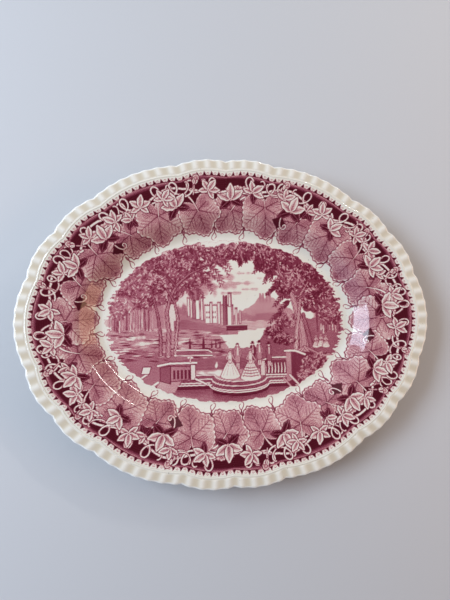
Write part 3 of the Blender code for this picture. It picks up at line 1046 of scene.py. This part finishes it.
def left_trees():
    crown(LEFT_MASSES, 0.02, -0.02, 1.45, LEFT_TWIGS, 0.62)
    trunk([(-58, -33), (-57, -10), (-59, 8), (-55, 24), (-48, 36), (-36, 46), (-22, 52)], 4.4, 1.3)
    trunk([(-65, -32), (-65, -14), (-67, 4), (-71, 22), (-77, 38)], 3.0, 1.0)
    trunk([(-51, -33), (-50, -16), (-48, 2), (-51, 18), (-60, 34)], 3.2, 1.2, 0.2)
    trunk([(-50, 34), (-58, 44), (-70, 50)], 1.8, 0.6, 0.5)
    for mass in ((-68, 34, 9, 7, 60), (-44, 54, 10, 6, 70)):
        clump(*mass, 0.62, 0.25, 1.5)


def right_trees():
    crown(RIGHT_MASSES, -0.08, -0.06, 1.6, RIGHT_TWIGS, 0.76)
    trunk([(76, -34), (75, -14), (70, 6), (66, 22), (60, 34), (54, 46), (52, 58)], 9.0, 1.6)
    trunk([(67, -33), (69, -12), (72, 8), (74, 24), (82, 36)], 5.0, 1.4, 0.22)
    trunk([(84, -33), (80, -14), (76, 4)], 4.6, 3.0, 0.5)
    trunk([(64, 28), (56, 40), (44, 50)], 1.8, 0.7, 0.4)
    trunk([(72, 20), (86, 30), (98, 34)], 1.8, 0.7, 0.5)
    for x, y in ((96, -38), (58, -36), (68, -38), (84, -39)):
        line([(76, -28), ((76 + x) / 2, -33), (x, y)], (2.2, 0.7), 0.35, 0.3, 0.9)
    for mass in ((60, 30, 8, 6, 50), (88, 26, 10, 7, 70), (46, -12, 10, 5, 70), (56, -20, 12, 5, 80)):
        clump(*mass, 0.72, 0.34, 1.6)


draw(left_trees, right_trees)

# %% Terrace, steps and company


def curve_of_steps(reach_x, reach_y, y):
    """The bowed middle of the steps, from left to right."""
    angles = np.linspace(math.pi, math.tau, 24)
    return [(10 + reach_x * math.cos(angle), y + reach_y * math.sin(angle)) for angle in angles]


def far_lawn():
    """A low wall by the water, and people far off."""
    line([(-50, -28), (-20, -28.5), (-16, -31)], 1.3, 0.08, 0.25, 0.85)
    line([(-52, -33), (-22, -33.5), (-16, -34)], 1.5, 0.08, 0.25, 0.85)
    slab(-50, -22, -33, -29, 0.6, None, 1.0, 0.1)
    for x, tall in ((-37, 9), (-24, 11), (-16, 6), (-12, 6.5), (-8, 6)):
        line([(x, -26), (x, -26 + tall * 0.75)], (tall * 0.26, tall * 0.12), 0.78)
        dab(x, -26 + tall * 0.88, tall * 0.11, 0, 0.6, 0.9)
    for x in (88, 93, 98):
        lady(x, -27 - abs(x - 93) * 0.2, 11, 0.08)
    land([(-60, -38), (-30, -36.5), (0, -37), (60, -36), (80, -39)], -62, 0.58, 1.2, 0.14)


def steps_and_pool():
    """The pale terrace, five treads of (drop, tone, width), and the pool behind its kerb."""
    area([(-46, -63), (64, -63), (60, -48), (-36, -48)], 0.36, 1.3, 0.12)
    mist(-12, -51, 22, 3.0, 0.06, 1.3, 0.05)
    treads = ((0, 0.06, 1.2), (-2.4, 0.60, 1.6), (-4.6, 0.06, 1.2), (-6.8, 0.62, 1.6), (-8.8, 0.06, 1.3))
    for k, (drop, tone, width) in enumerate(treads):
        y = -52.5 + 0.85 * drop
        left, right = [(-34 - k * 3, y), (-14 - k, y)], [(36 + k, y), (50 + k * 2.4, y)]
        line(left + curve_of_steps(24 + k * 1.5, 7 + 0.3 * k, y) + right, width, tone, 0.25, 0.85)
    kerb = [(-50, -62), (-16, -62)] + curve_of_steps(29, 8, -62) + [(40, -62), (60, -62), (72, -68)]
    xs, ys = zip(*kerb)
    box = square(-75, 72, -79, -60)
    below = np.interp(X[box], xs, ys) - Y[box]
    lay(box, cover(below), 0.86 + ruled(box, 1.05, 0.12))
    lay(box, cover(below - 3.2), 0.74 - 0.02 * np.clip(below, 0, 12) + ruled(box, 1.3, 0.16))
    lay(box, cover(0.5 - np.abs(below - 3.0)), 0.9)
    line(kerb, 1.3, 0.06, 0.3, 0.9)


def left_wall():
    """The wall and balusters to the left of the steps, with an urn on the pier."""
    area([(-72, -68), (-52, -68), (-46, -57), (-66, -57)], 0.35, 1.1, 0.12)
    area([(-66, -57), (-56, -60), (-56, -43), (-66, -44)], 0.62, 1.0, 0.1, 0.85)
    area([(-56, -58), (-34, -56), (-34, -44), (-56, -43)], 0.45, 1.1, 0.1, 0.85)
    for k in range(5):
        slab(-53.5 + k * 3.6, -51.5 + k * 3.6, -55.4, -47, 0.78)
    slab(-37, -32, -57, -42, 0.15, 0.85)
    for points, width in (([(-68, -42.5), (-57, -40.5), (-31, -40.5)], 2.0), ([(-68, -58), (-90, -72)], 2.2),
                          ([(-78, -50), (-97, -62)], 1.8), ([(-32, -56), (-22, -61)], 1.8)):
        line(points, width, 0.07, 0.3, 0.9)
    area([(-84, -50), (-76, -50), (-74, -43), (-82, -43)], 0.12, edge=0.85)
    dab(-37, -35.5, 3.0, 0, 0.08, 0.35)
    line([(-37, -39.5), (-37, -36)], 1.2, 0.2, 0.2, 0.85)


def balustrade():
    """The balusters to the right of the steps, and the pier at their end."""
    slab(33, 58, -54, -40, 0.7, None, 1.0, 0.08)
    for k in range(7):
        line([(36 + k * 3.2, -52), (36.4 + k * 3.2, -48), (36 + k * 3.2, -43)], (1.5, 0.9), 0.06, 0.25, 0.9)
    line([(33, -40.3), (40, -37.5), (57, -37.5), (60, -40.3)], 1.6, 0.06, 0.3, 0.9)
    line([(32, -54), (60, -54.5)], 1.6, 0.08, 0.3, 0.9)
    slab(31, 36, -55, -40, 0.2, 0.85)
    area([(58, -66), (88, -60), (84, -34), (58, -31)], 0.74, 1.1, 0.10, 0.9)
    area([(57, -62), (62, -60), (62, -33), (57, -33)], 0.4, 1.0, 0.1)
    line([(56, -31.5), (66, -31.5), (76, -35.5)], 2.2, 0.08, 0.35, 0.9)
    line([(60, -55), (72, -68)], 2.0, 0.1, 0.3, 0.9)
    line([(54, -58), (64, -70)], 1.6, 0.3, 0.3, 0.9)
    for x, y, wide, tall in ((84, -46, 13, 9), (94, -40, 10, 6), (76, -56, 9, 6)):
        clump(x, y, wide, tall, 110, 0.62, 0.28, 1.6)


def company():
    """The strollers on the terrace, from the back to the front, and a small dog."""
    for stroller in ((40, -45, 23, 0.55), (30.5, -44, 24, 0.42), (24, -44, 23, 0.7)):
        gentleman(*stroller)
    gentleman(9, -47, 26, 0.38, hat=None)
    lady(21.5, -56, 29, 0.08, 4)
    lady(1.5, -54, 27, 0.05)
    dab(-12, -44, 2.2, 1.4, 0.1, 0.6)
    dab(-11.6, -41.3, 1.0, 0, 0.2, 0.9)


draw(far_lawn, steps_and_pool, left_wall, balustrade, company)

# %% The picture's edge and contrast
EDGE_WAVES = ((23, 0.45), (37, 0.5), (61, 0.4), (113, 0.3))  # how often each goes round, and its size
CONTRAST = 0.25

def picture_depth():
    """How far inside the picture's ragged edge a square lies. The sides end in ruled lines."""
    angle = np.arctan2(Y / PICTURE_Y, X / PICTURE_X)
    wave = sum(size * np.sin(angle * beat + beat) for beat, size in EDGE_WAVES)
    steps = dice.uniform(-2.6, 1.2, 400)[((Y + BOARD_Y) / 1.15).astype(int)]
    at_sides = smooth(0.72, 0.95, np.abs(X) / PICTURE_X)
    return (1 - np.hypot(X / PICTURE_X, Y / PICTURE_Y)) * PICTURE_Y + wave + steps * at_sides


depth_inside = picture_depth()
ink[:] = ((1 - CONTRAST) * ink + CONTRAST * smooth(0.08, 0.86, ink)) * cover(depth_inside)
lay(EVERYWHERE, cover(0.22 - np.abs(depth_inside - 0.2)) * 0.4, 0.6)
picture_ink = ink.copy()
print(f"picture drawn: {100 * float(np.mean(picture_ink > 0.5)):.0f} % of the board is dark")

# %% [markdown]
# ## Laying the transfers
#
# The inked pattern is taken off the copper on thin tissue, and the tissue is cut and laid on the clay. In
# the model each transfer is a thin sheet that follows the face. Its vertices are about 0.6 mm apart, and
# each carries the ink of the board at its own place, as an attribute called ink. Closer vertices would
# show finer lines, but they would make the piece too heavy.

# %% Print sheets for the two halves of the border
PRINT_THICK = 0.2
PRINT_GAP = 0.04
HALF_STEPS, FACE_ROWS = 800, 100


def ink_under(board, x, y):
    """The ink at places on a board, mixed from the four squares nearest to each place."""
    column, row = (x + BOARD_X) / CELL, (y + BOARD_Y) / CELL
    left, low = np.floor(column).astype(int), np.floor(row).astype(int)
    across, up = column - left, row - low
    bottom = board[low, left] * (1 - across) + board[low, left + 1] * across
    top = board[low + 1, left] * (1 - across) + board[low + 1, left + 1] * across
    return bottom * (1 - up) + top * up


def border_sheet(name, side):
    """Half of the border, down the rim and the cavetto. side is 1 for +X and -1 for -X."""
    top = [(inward, float(face_height(inward))) for inward in np.linspace(SEAT_ROWS[0], PRINT_END, FACE_ROWS)]
    under = [(inward, float(face_height(inward)) - PRINT_THICK) for inward in reversed(SEAT_ROWS)]
    middle = 0.0 if side > 0 else 0.5
    section = top + under + top[:1]
    piece, turn, inward, height = taken_round(name, section, HALF_STEPS, middle - 0.25, middle + 0.25)
    x, y = in_plan(turn, inward)
    x = side * np.maximum(side * x, PRINT_GAP / 2)
    write_places(piece.data, x, y, height)
    carry_number(piece, "ink", ink_under(border_ink, x, y))
    close_up(piece)
    return piece


border_right = border_sheet("border_transfer_right", 1)
border_left = border_sheet("border_transfer_left", -1)
print("faces in each half of the border:", len(border_right.data.polygons))

# %% [markdown]
# The picture's sheet is flat, so it starts as a grid. Each square of the grid is pressed into the oval,
# which keeps the rows even and leaves no pole in the middle. Its edge is extruded down, and the bottom is
# filled.

# %% Print sheet for the well
GRID_ACROSS, GRID_UP = 360, 250
SHEET_X = OVAL_LENGTH / 2 - PRINT_END - PRINT_GAP
SHEET_Y = OVAL_WIDTH / 2 - PRINT_END - PRINT_GAP


def well_sheet():
    """The picture's sheet, flat on the well floor."""
    bm = bmesh.new()
    bmesh.ops.create_grid(bm, x_segments=GRID_ACROSS, y_segments=GRID_UP, size=1.0)
    rim = bmesh.ops.extrude_edge_only(bm, edges=[edge for edge in bm.edges if edge.is_boundary])["geom"]
    lower = [item for item in rim if isinstance(item, bmesh.types.BMVert)]
    bmesh.ops.translate(bm, verts=lower, vec=(0, 0, -1))
    bmesh.ops.holes_fill(bm, edges=[edge for edge in bm.edges if edge.is_boundary], sides=0)
    # The extrusion makes its faces in a different order each run, so they are sorted by their middles.
    by_place = Vector((1, 1000, 10000))
    bm.faces.sort(key=lambda face: by_place.dot(face.calc_center_median()))
    piece = new_piece(bm, "picture_transfer")
    u, v, level = read_places(piece.data)
    x, y = SHEET_X * u * np.sqrt(1 - v**2 / 2), SHEET_Y * v * np.sqrt(1 - u**2 / 2)
    write_places(piece.data, x, y, WELL_FLOOR + PRINT_THICK * level)
    carry_number(piece, "ink", ink_under(picture_ink, x, y))
    piece.data.set_sharp_from_angle(angle=math.radians(SHARP_ANGLE))
    return piece


picture = well_sheet()
print("faces in the picture's sheet:", len(picture.data.polygons))

# %% [markdown]
# ## Glaze and colour
#
# Three effects are shared. The glaze pools and ripples slightly, which shows only where it mirrors a
# light. Cream clay under it has soft clouds of colour and a few dark specks of iron. The print is not
# flat colour: the plate's fine cuts leave it grainy. Each effect is a node group, placed in each material
# with its own numbers.

# %% Small tools for node trees


def new_group(name, inputs, outputs):
    """An empty shader node group. inputs give each number's name and usual value."""
    group = bpy.data.node_groups.new(name, "ShaderNodeTree")
    for label, kind, value in inputs:
        socket = group.interface.new_socket(name=label, in_out="INPUT", socket_type=kind)
        if value is not None:
            socket.default_value = value
    for label, kind in outputs:
        group.interface.new_socket(name=label, in_out="OUTPUT", socket_type=kind)
    return group, group.nodes.new("NodeGroupInput"), group.nodes.new("NodeGroupOutput")


def add(tree, kind, settings=None, **values):
    """A new node with its settings, and with plain values in its named inputs."""
    node = tree.nodes.new(kind)
    for name, value in (settings or {}).items():
        setattr(node, name, value)
    for name, value in values.items():
        node.inputs[name.replace("_", " ")].default_value = value
    return node


def maths(tree, operation, first, second, clamp=False):
    """A Math node. first and second are numbers, or the sockets to link."""
    node = add(tree, "ShaderNodeMath", dict(operation=operation, use_clamp=clamp))
    for socket, value in zip(node.inputs, (first, second)):
        if isinstance(value, (int, float)):
            socket.default_value = value
        else:
            tree.links.new(value, socket)
    return node.outputs[0]


def noise(tree, scale, detail=2.0, roughness=0.5):
    """Noise on Object coordinates. scale is in blobs for each metre."""
    place = add(tree, "ShaderNodeTexCoord").outputs["Object"]
    node = add(tree, "ShaderNodeTexNoise", Scale=scale, Detail=detail, Roughness=roughness)
    tree.links.new(place, node.inputs["Vector"])
    return node.outputs["Fac"]


def spread(tree, value, low, high, to_low, to_high):
    """A Map Range node that spreads a value between two limits."""
    node = add(tree, "ShaderNodeMapRange", dict(clamp=True))
    node.inputs["From Min"].default_value, node.inputs["From Max"].default_value = low, high
    node.inputs["To Min"].default_value, node.inputs["To Max"].default_value = to_low, to_high
    tree.links.new(value, node.inputs["Value"])
    return node.outputs["Result"]


def mixed(tree, factor, first, second, blend="MIX"):
    """A colour mix. Each of first and second is a colour or a socket."""
    node = add(tree, "ShaderNodeMix", dict(data_type="RGBA", blend_type=blend))
    sockets = [socket for socket in node.inputs if socket.type == "RGBA"]
    for socket, value in ((node.inputs[0], factor), (sockets[0], first), (sockets[1], second)):
        if isinstance(value, (int, float, tuple)):
            socket.default_value = value
        else:
            tree.links.new(value, socket)
    return [socket for socket in node.outputs if socket.type == "RGBA"][0]


print("node tools ready")

# %% The shared effects
CLAY = (0.77, 0.73, 0.64, 1.0)
STAIN = (0.68, 0.585, 0.44, 1.0)
IRON = (0.16, 0.10, 0.06, 1.0)
ORANGE_PEEL = 0.06


def glaze_ripple():
    """How the glaze lies: a slow swell and a fine orange-peel, as a height, and its roughness."""
    group, given, result = new_group(
        "glaze_ripple", [("Swell", "NodeSocketFloat", 1.0), ("Dullness", "NodeSocketFloat", 0.1)],
        [("Height", "NodeSocketFloat"), ("Roughness", "NodeSocketFloat")])
    slow, fine = noise(group, 45.0), noise(group, 420.0, 1.0)
    swell = maths(group, "MULTIPLY", slow, given.outputs["Swell"])
    height = maths(group, "ADD", swell, maths(group, "MULTIPLY", fine, ORANGE_PEEL))
    worn = spread(group, noise(group, 160.0, 4.0, 0.6), 0.45, 0.75, 0.0, 0.06)
    group.links.new(height, result.inputs["Height"])
    group.links.new(maths(group, "ADD", worn, given.outputs["Dullness"]), result.inputs["Roughness"])
    return group


def cream_clay():
    """Clay colour under clear glaze, with soft clouds and rare iron specks."""
    group, given, result = new_group(
        "cream_clay",
        [("Clay", "NodeSocketColor", CLAY), ("Stain", "NodeSocketColor", STAIN),
         ("Specks", "NodeSocketFloat", 0.5)],
        [("Color", "NodeSocketColor")])
    clouds = spread(group, noise(group, 28.0, 3.0, 0.6), 0.45, 0.8, 0.0, 0.35)
    cloudy = mixed(group, clouds, given.outputs["Clay"], given.outputs["Stain"])
    dots = spread(group, noise(group, 520.0, 0.0), 0.80, 0.84, 0.0, 1.0)
    rare = maths(group, "MULTIPLY", dots, given.outputs["Specks"])
    group.links.new(mixed(group, rare, cloudy, IRON), result.inputs["Color"])
    return group


def engraved_grain():
    """Roughens the ink as the plate's fine cuts do, most in the middle tones."""
    group, given, result = new_group(
        "engraved_grain", [("Ink", "NodeSocketFloat", 0.5), ("Grain", "NodeSocketFloat", 0.2)],
        [("Ink", "NodeSocketFloat")])
    tone = given.outputs["Ink"]
    between = maths(group, "MULTIPLY", tone, maths(group, "SUBTRACT", 1.0, tone))
    middle = maths(group, "MULTIPLY", between, 4.0)
    cuts = spread(group, noise(group, 1500.0, 2.0, 0.7), 0.3, 0.7, -1.0, 1.0)
    patches = spread(group, noise(group, 60.0, 2.0), 0.3, 0.7, -0.25, 0.25)
    change = maths(group, "MULTIPLY", maths(group, "ADD", cuts, patches), given.outputs["Grain"])
    printed = maths(group, "ADD", tone, maths(group, "MULTIPLY", change, middle), clamp=True)
    group.links.new(printed, result.inputs["Ink"])
    return group


GLAZE_RIPPLE, CREAM_CLAY, ENGRAVED_GRAIN = glaze_ripple(), cream_clay(), engraved_grain()
print("node groups:", [group.name for group in bpy.data.node_groups])

# %% [markdown]
# ## The three finishes
#
# The body is cream clay under clear glaze. Its colour holds painted shade in the flutes between the ribs,
# and a painted highlight over the crests and the lip. The foot, which stood on the kiln's props, is bare
# and a little dirty. The prints are the same clay and glaze with rose-red ink between them, darker in the
# border than in the picture.

# %% Finishes
# The first two colours are painted shade for the flutes and a painted highlight for the crests and the lip.
FLUTE_SHADE, CREST_AND_LIP_HIGHLIGHT = (0.57, 0.48, 0.34, 1.0), (0.92, 0.905, 0.86, 1.0)
BISCUIT, GRIME = (0.60, 0.50, 0.36, 1.0), (0.30, 0.23, 0.16, 1.0)
GLAZE_IOR, GLAZE_DULLNESS, SPECKS = 1.44, 0.07, 0.5

# Colours from no ink, at 0, to full ink, at 1.
BORDER_INK = ((0.0, (0.84, 0.80, 0.73)), (0.25, (0.63, 0.36, 0.34)), (0.5, (0.42, 0.15, 0.18)),
              (0.75, (0.19, 0.028, 0.055)), (1.0, (0.060, 0.0008, 0.006)))
PICTURE_INK = ((0.0, (0.77, 0.71, 0.62)), (0.25, (0.63, 0.37, 0.36)), (0.5, (0.42, 0.14, 0.18)),
               (0.75, (0.20, 0.024, 0.052)), (1.0, (0.085, 0.003, 0.012)))


def group_node(tree, group):
    return add(tree, "ShaderNodeGroup", dict(node_tree=group))


def carried(tree, name):
    """The number that a piece's vertices carry under this name."""
    return add(tree, "ShaderNodeAttribute", dict(attribute_name=name)).outputs["Fac"]


def glazed(name, swell=1.0):
    """A material with a glossy glaze and no colour yet, its tree, its shader and its roughness."""
    material = bpy.data.materials.new(name)
    material.use_nodes = True
    tree = material.node_tree
    shader = tree.nodes["Principled BSDF"]
    shader.inputs["IOR"].default_value = GLAZE_IOR
    ripple = group_node(tree, GLAZE_RIPPLE)
    ripple.inputs["Swell"].default_value = swell
    ripple.inputs["Dullness"].default_value = GLAZE_DULLNESS
    bump = add(tree, "ShaderNodeBump", Strength=0.5, Distance=0.0003)
    tree.links.new(ripple.outputs["Height"], bump.inputs["Height"])
    tree.links.new(bump.outputs["Normal"], shader.inputs["Normal"])
    return material, tree, shader, ripple.outputs["Roughness"]


def clay_colour(tree):
    clay = group_node(tree, CREAM_CLAY)
    clay.inputs["Clay"].default_value, clay.inputs["Stain"].default_value = CLAY, STAIN
    clay.inputs["Specks"].default_value = SPECKS
    return clay.outputs["Color"]


def body_finish():
    """Glazed clay: painted shade in the flutes, a painted highlight on crests and lip, bare under the foot.
    """
    material, tree, shader, roughness = glazed("cream_glaze")
    flute = carried(tree, "flute")
    # The flutes are darkened as painted shade, and the crests and lip paled as a painted highlight.
    flute_shaded = mixed(tree, maths(tree, "MULTIPLY", flute, 0.7), clay_colour(tree), FLUTE_SHADE)
    glaze = mixed(tree, carried(tree, "crest_and_lip_highlight"), flute_shaded, CREST_AND_LIP_HIGHLIGHT)
    bare = carried(tree, "bare")
    grime = spread(tree, noise(tree, 300.0, 4.0, 0.7), 0.4, 0.65, 0.0, 0.6)
    foot = mixed(tree, grime, BISCUIT, GRIME)
    tree.links.new(mixed(tree, bare, glaze, foot), shader.inputs["Base Color"])
    rough = maths(tree, "ADD", roughness, maths(tree, "MULTIPLY", bare, 0.6), clamp=True)
    tree.links.new(rough, shader.inputs["Roughness"])
    return material


def print_finish(name, ramp, grain):
    """Ink between clay and glaze. ramp gives colours from no ink to full ink."""
    material, tree, shader, roughness = glazed(name, swell=1.2)
    amount = carried(tree, "ink")
    cuts = group_node(tree, ENGRAVED_GRAIN)
    cuts.inputs["Grain"].default_value = grain
    tree.links.new(amount, cuts.inputs["Ink"])
    colours = add(tree, "ShaderNodeValToRGB")
    elements = colours.color_ramp.elements
    for i, (at, colour) in enumerate(ramp):
        element = elements[i] if i < 2 else elements.new(at)
        element.position, element.color = at, (*colour, 1.0)
    tree.links.new(cuts.outputs["Ink"], colours.inputs["Fac"])
    bare_clay = spread(tree, cuts.outputs["Ink"], 0.0, 0.25, 1.0, 0.0)
    coloured = mixed(tree, bare_clay, colours.outputs["Color"], clay_colour(tree))
    tree.links.new(coloured, shader.inputs["Base Color"])
    tree.links.new(roughness, shader.inputs["Roughness"])
    return material


body_glaze = body_finish()
border_red = print_finish("border_red", BORDER_INK, 0.22)
picture_red = print_finish("picture_red", PICTURE_INK, 0.20)
for piece, finish, slot, node in (
        (body, body_glaze, "glazed_earthenware", "platter_body"),
        (border_right, border_red, "border_transfer", "border_print_right"),
        (picture, picture_red, "picture_transfer", "centre_print"),
        (border_left, border_red, "border_transfer", "border_print_left")):
    piece.data.materials.append(finish)
    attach(piece, "root")
    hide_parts(node)
    print(piece.name, "takes the place of", node)

# %% [markdown]
# ## Table, light and camera
#
# The platter lies on a pale table. A cool window to the left leaves its bright shape in the curved wall
# of the well, and a large pale wall beyond the platter lights it softly. Smaller lights warm the right
# side, cool the near left, and draw one thin highlight. The camera looks almost straight down.

# %% Table
FLOOR_HALF = 1.6
FLOOR_COLOUR = (0.55, 0.56, 0.58, 1.0)


def pale_floor():
    """A plain square floor, which is not part of the platter."""
    bm = bmesh.new()
    bmesh.ops.create_grid(bm, x_segments=1, y_segments=1, size=FLOOR_HALF)
    floor = new_piece(bm, "pale_floor")
    material = bpy.data.materials.new("pale_floor")
    material.use_nodes = True
    shader = material.node_tree.nodes["Principled BSDF"]
    shader.inputs["Base Color"].default_value = FLOOR_COLOUR
    shader.inputs["Roughness"].default_value = 0.8
    floor.data.materials.append(material)


pale_floor()
print(f"the floor is {2 * FLOOR_HALF:.1f} m square")

# %% Light
ROOM_COLOUR, ROOM_STRENGTH = (0.80, 0.82, 0.85, 1.0), 0.15

def soft_light(name, place, size, power, colour):
    """A rectangular light that faces the middle of the platter. size is (wide, high)."""
    light = bpy.data.lights.new(name, "AREA")
    light.shape = "RECTANGLE"
    light.size, light.size_y = size
    light.energy, light.color = power, colour
    lamp = bpy.data.objects.new(name, light)
    lamp.location = place
    lamp.rotation_euler = (-Vector(place)).to_track_quat("-Z", "Y").to_euler()
    bpy.context.collection.objects.link(lamp)


soft_light("window_light", (-1.12, 0.28, 0.94), (0.94, 0.55), 21.5, (0.74, 0.85, 1.0))
soft_light("warm_room_light", (0.95, -0.05, 0.55), (0.9, 0.32), 3.6, (1.0, 0.60, 0.36))
soft_light("cool_room_light", (-0.85, -0.45, 0.62), (1.0, 0.5), 1.2, (0.74, 0.78, 1.0))
soft_light("strip_light", (0.52, 0.62, 0.55), (0.35, 0.02), 1.3, (1.0, 0.97, 0.92))
soft_light("pale_wall_light", (0.0, 1.3, 1.3), (3.6, 2.2), 13.0, (0.97, 0.97, 0.97))
world = bpy.data.worlds.new("grey_room")
world.use_nodes = True
background = world.node_tree.nodes["Background"]
background.inputs["Color"].default_value = ROOM_COLOUR
background.inputs["Strength"].default_value = ROOM_STRENGTH
bpy.context.scene.world = world
bpy.context.scene.view_settings.view_transform = "Standard"
print("lights:", len(bpy.data.lights))

# %% Camera
PLATTER_SEEN_AT = (1.6, -20.3, -448.7)  # the platter's middle as the camera sees it, in millimetres
PITCH, YAW, ROLL = -5.16, 6.03, 0.99  # degrees
LENS, SENSOR = 27.06, 36.0


def look_down():
    """A camera that sees the platter turned by pitch, yaw and roll, at the place given above."""
    turned = Matrix.Identity(3)
    for degrees, axis in ((ROLL, "Z"), (YAW, "Y"), (PITCH, "X")):
        turned = turned @ Matrix.Rotation(math.radians(degrees), 3, axis)
    back = turned.transposed()
    data = bpy.data.cameras.new("camera")
    data.lens, data.sensor_width, data.clip_start = LENS, SENSOR, 0.01
    camera = bpy.data.objects.new("camera", data)
    camera.matrix_world = Matrix.Translation(-(back @ Vector(PLATTER_SEEN_AT) * MM)) @ back.to_4x4()
    bpy.context.collection.objects.link(camera)
    bpy.context.scene.camera = camera
    print("camera", [round(v, 3) for v in camera.location])


look_down()
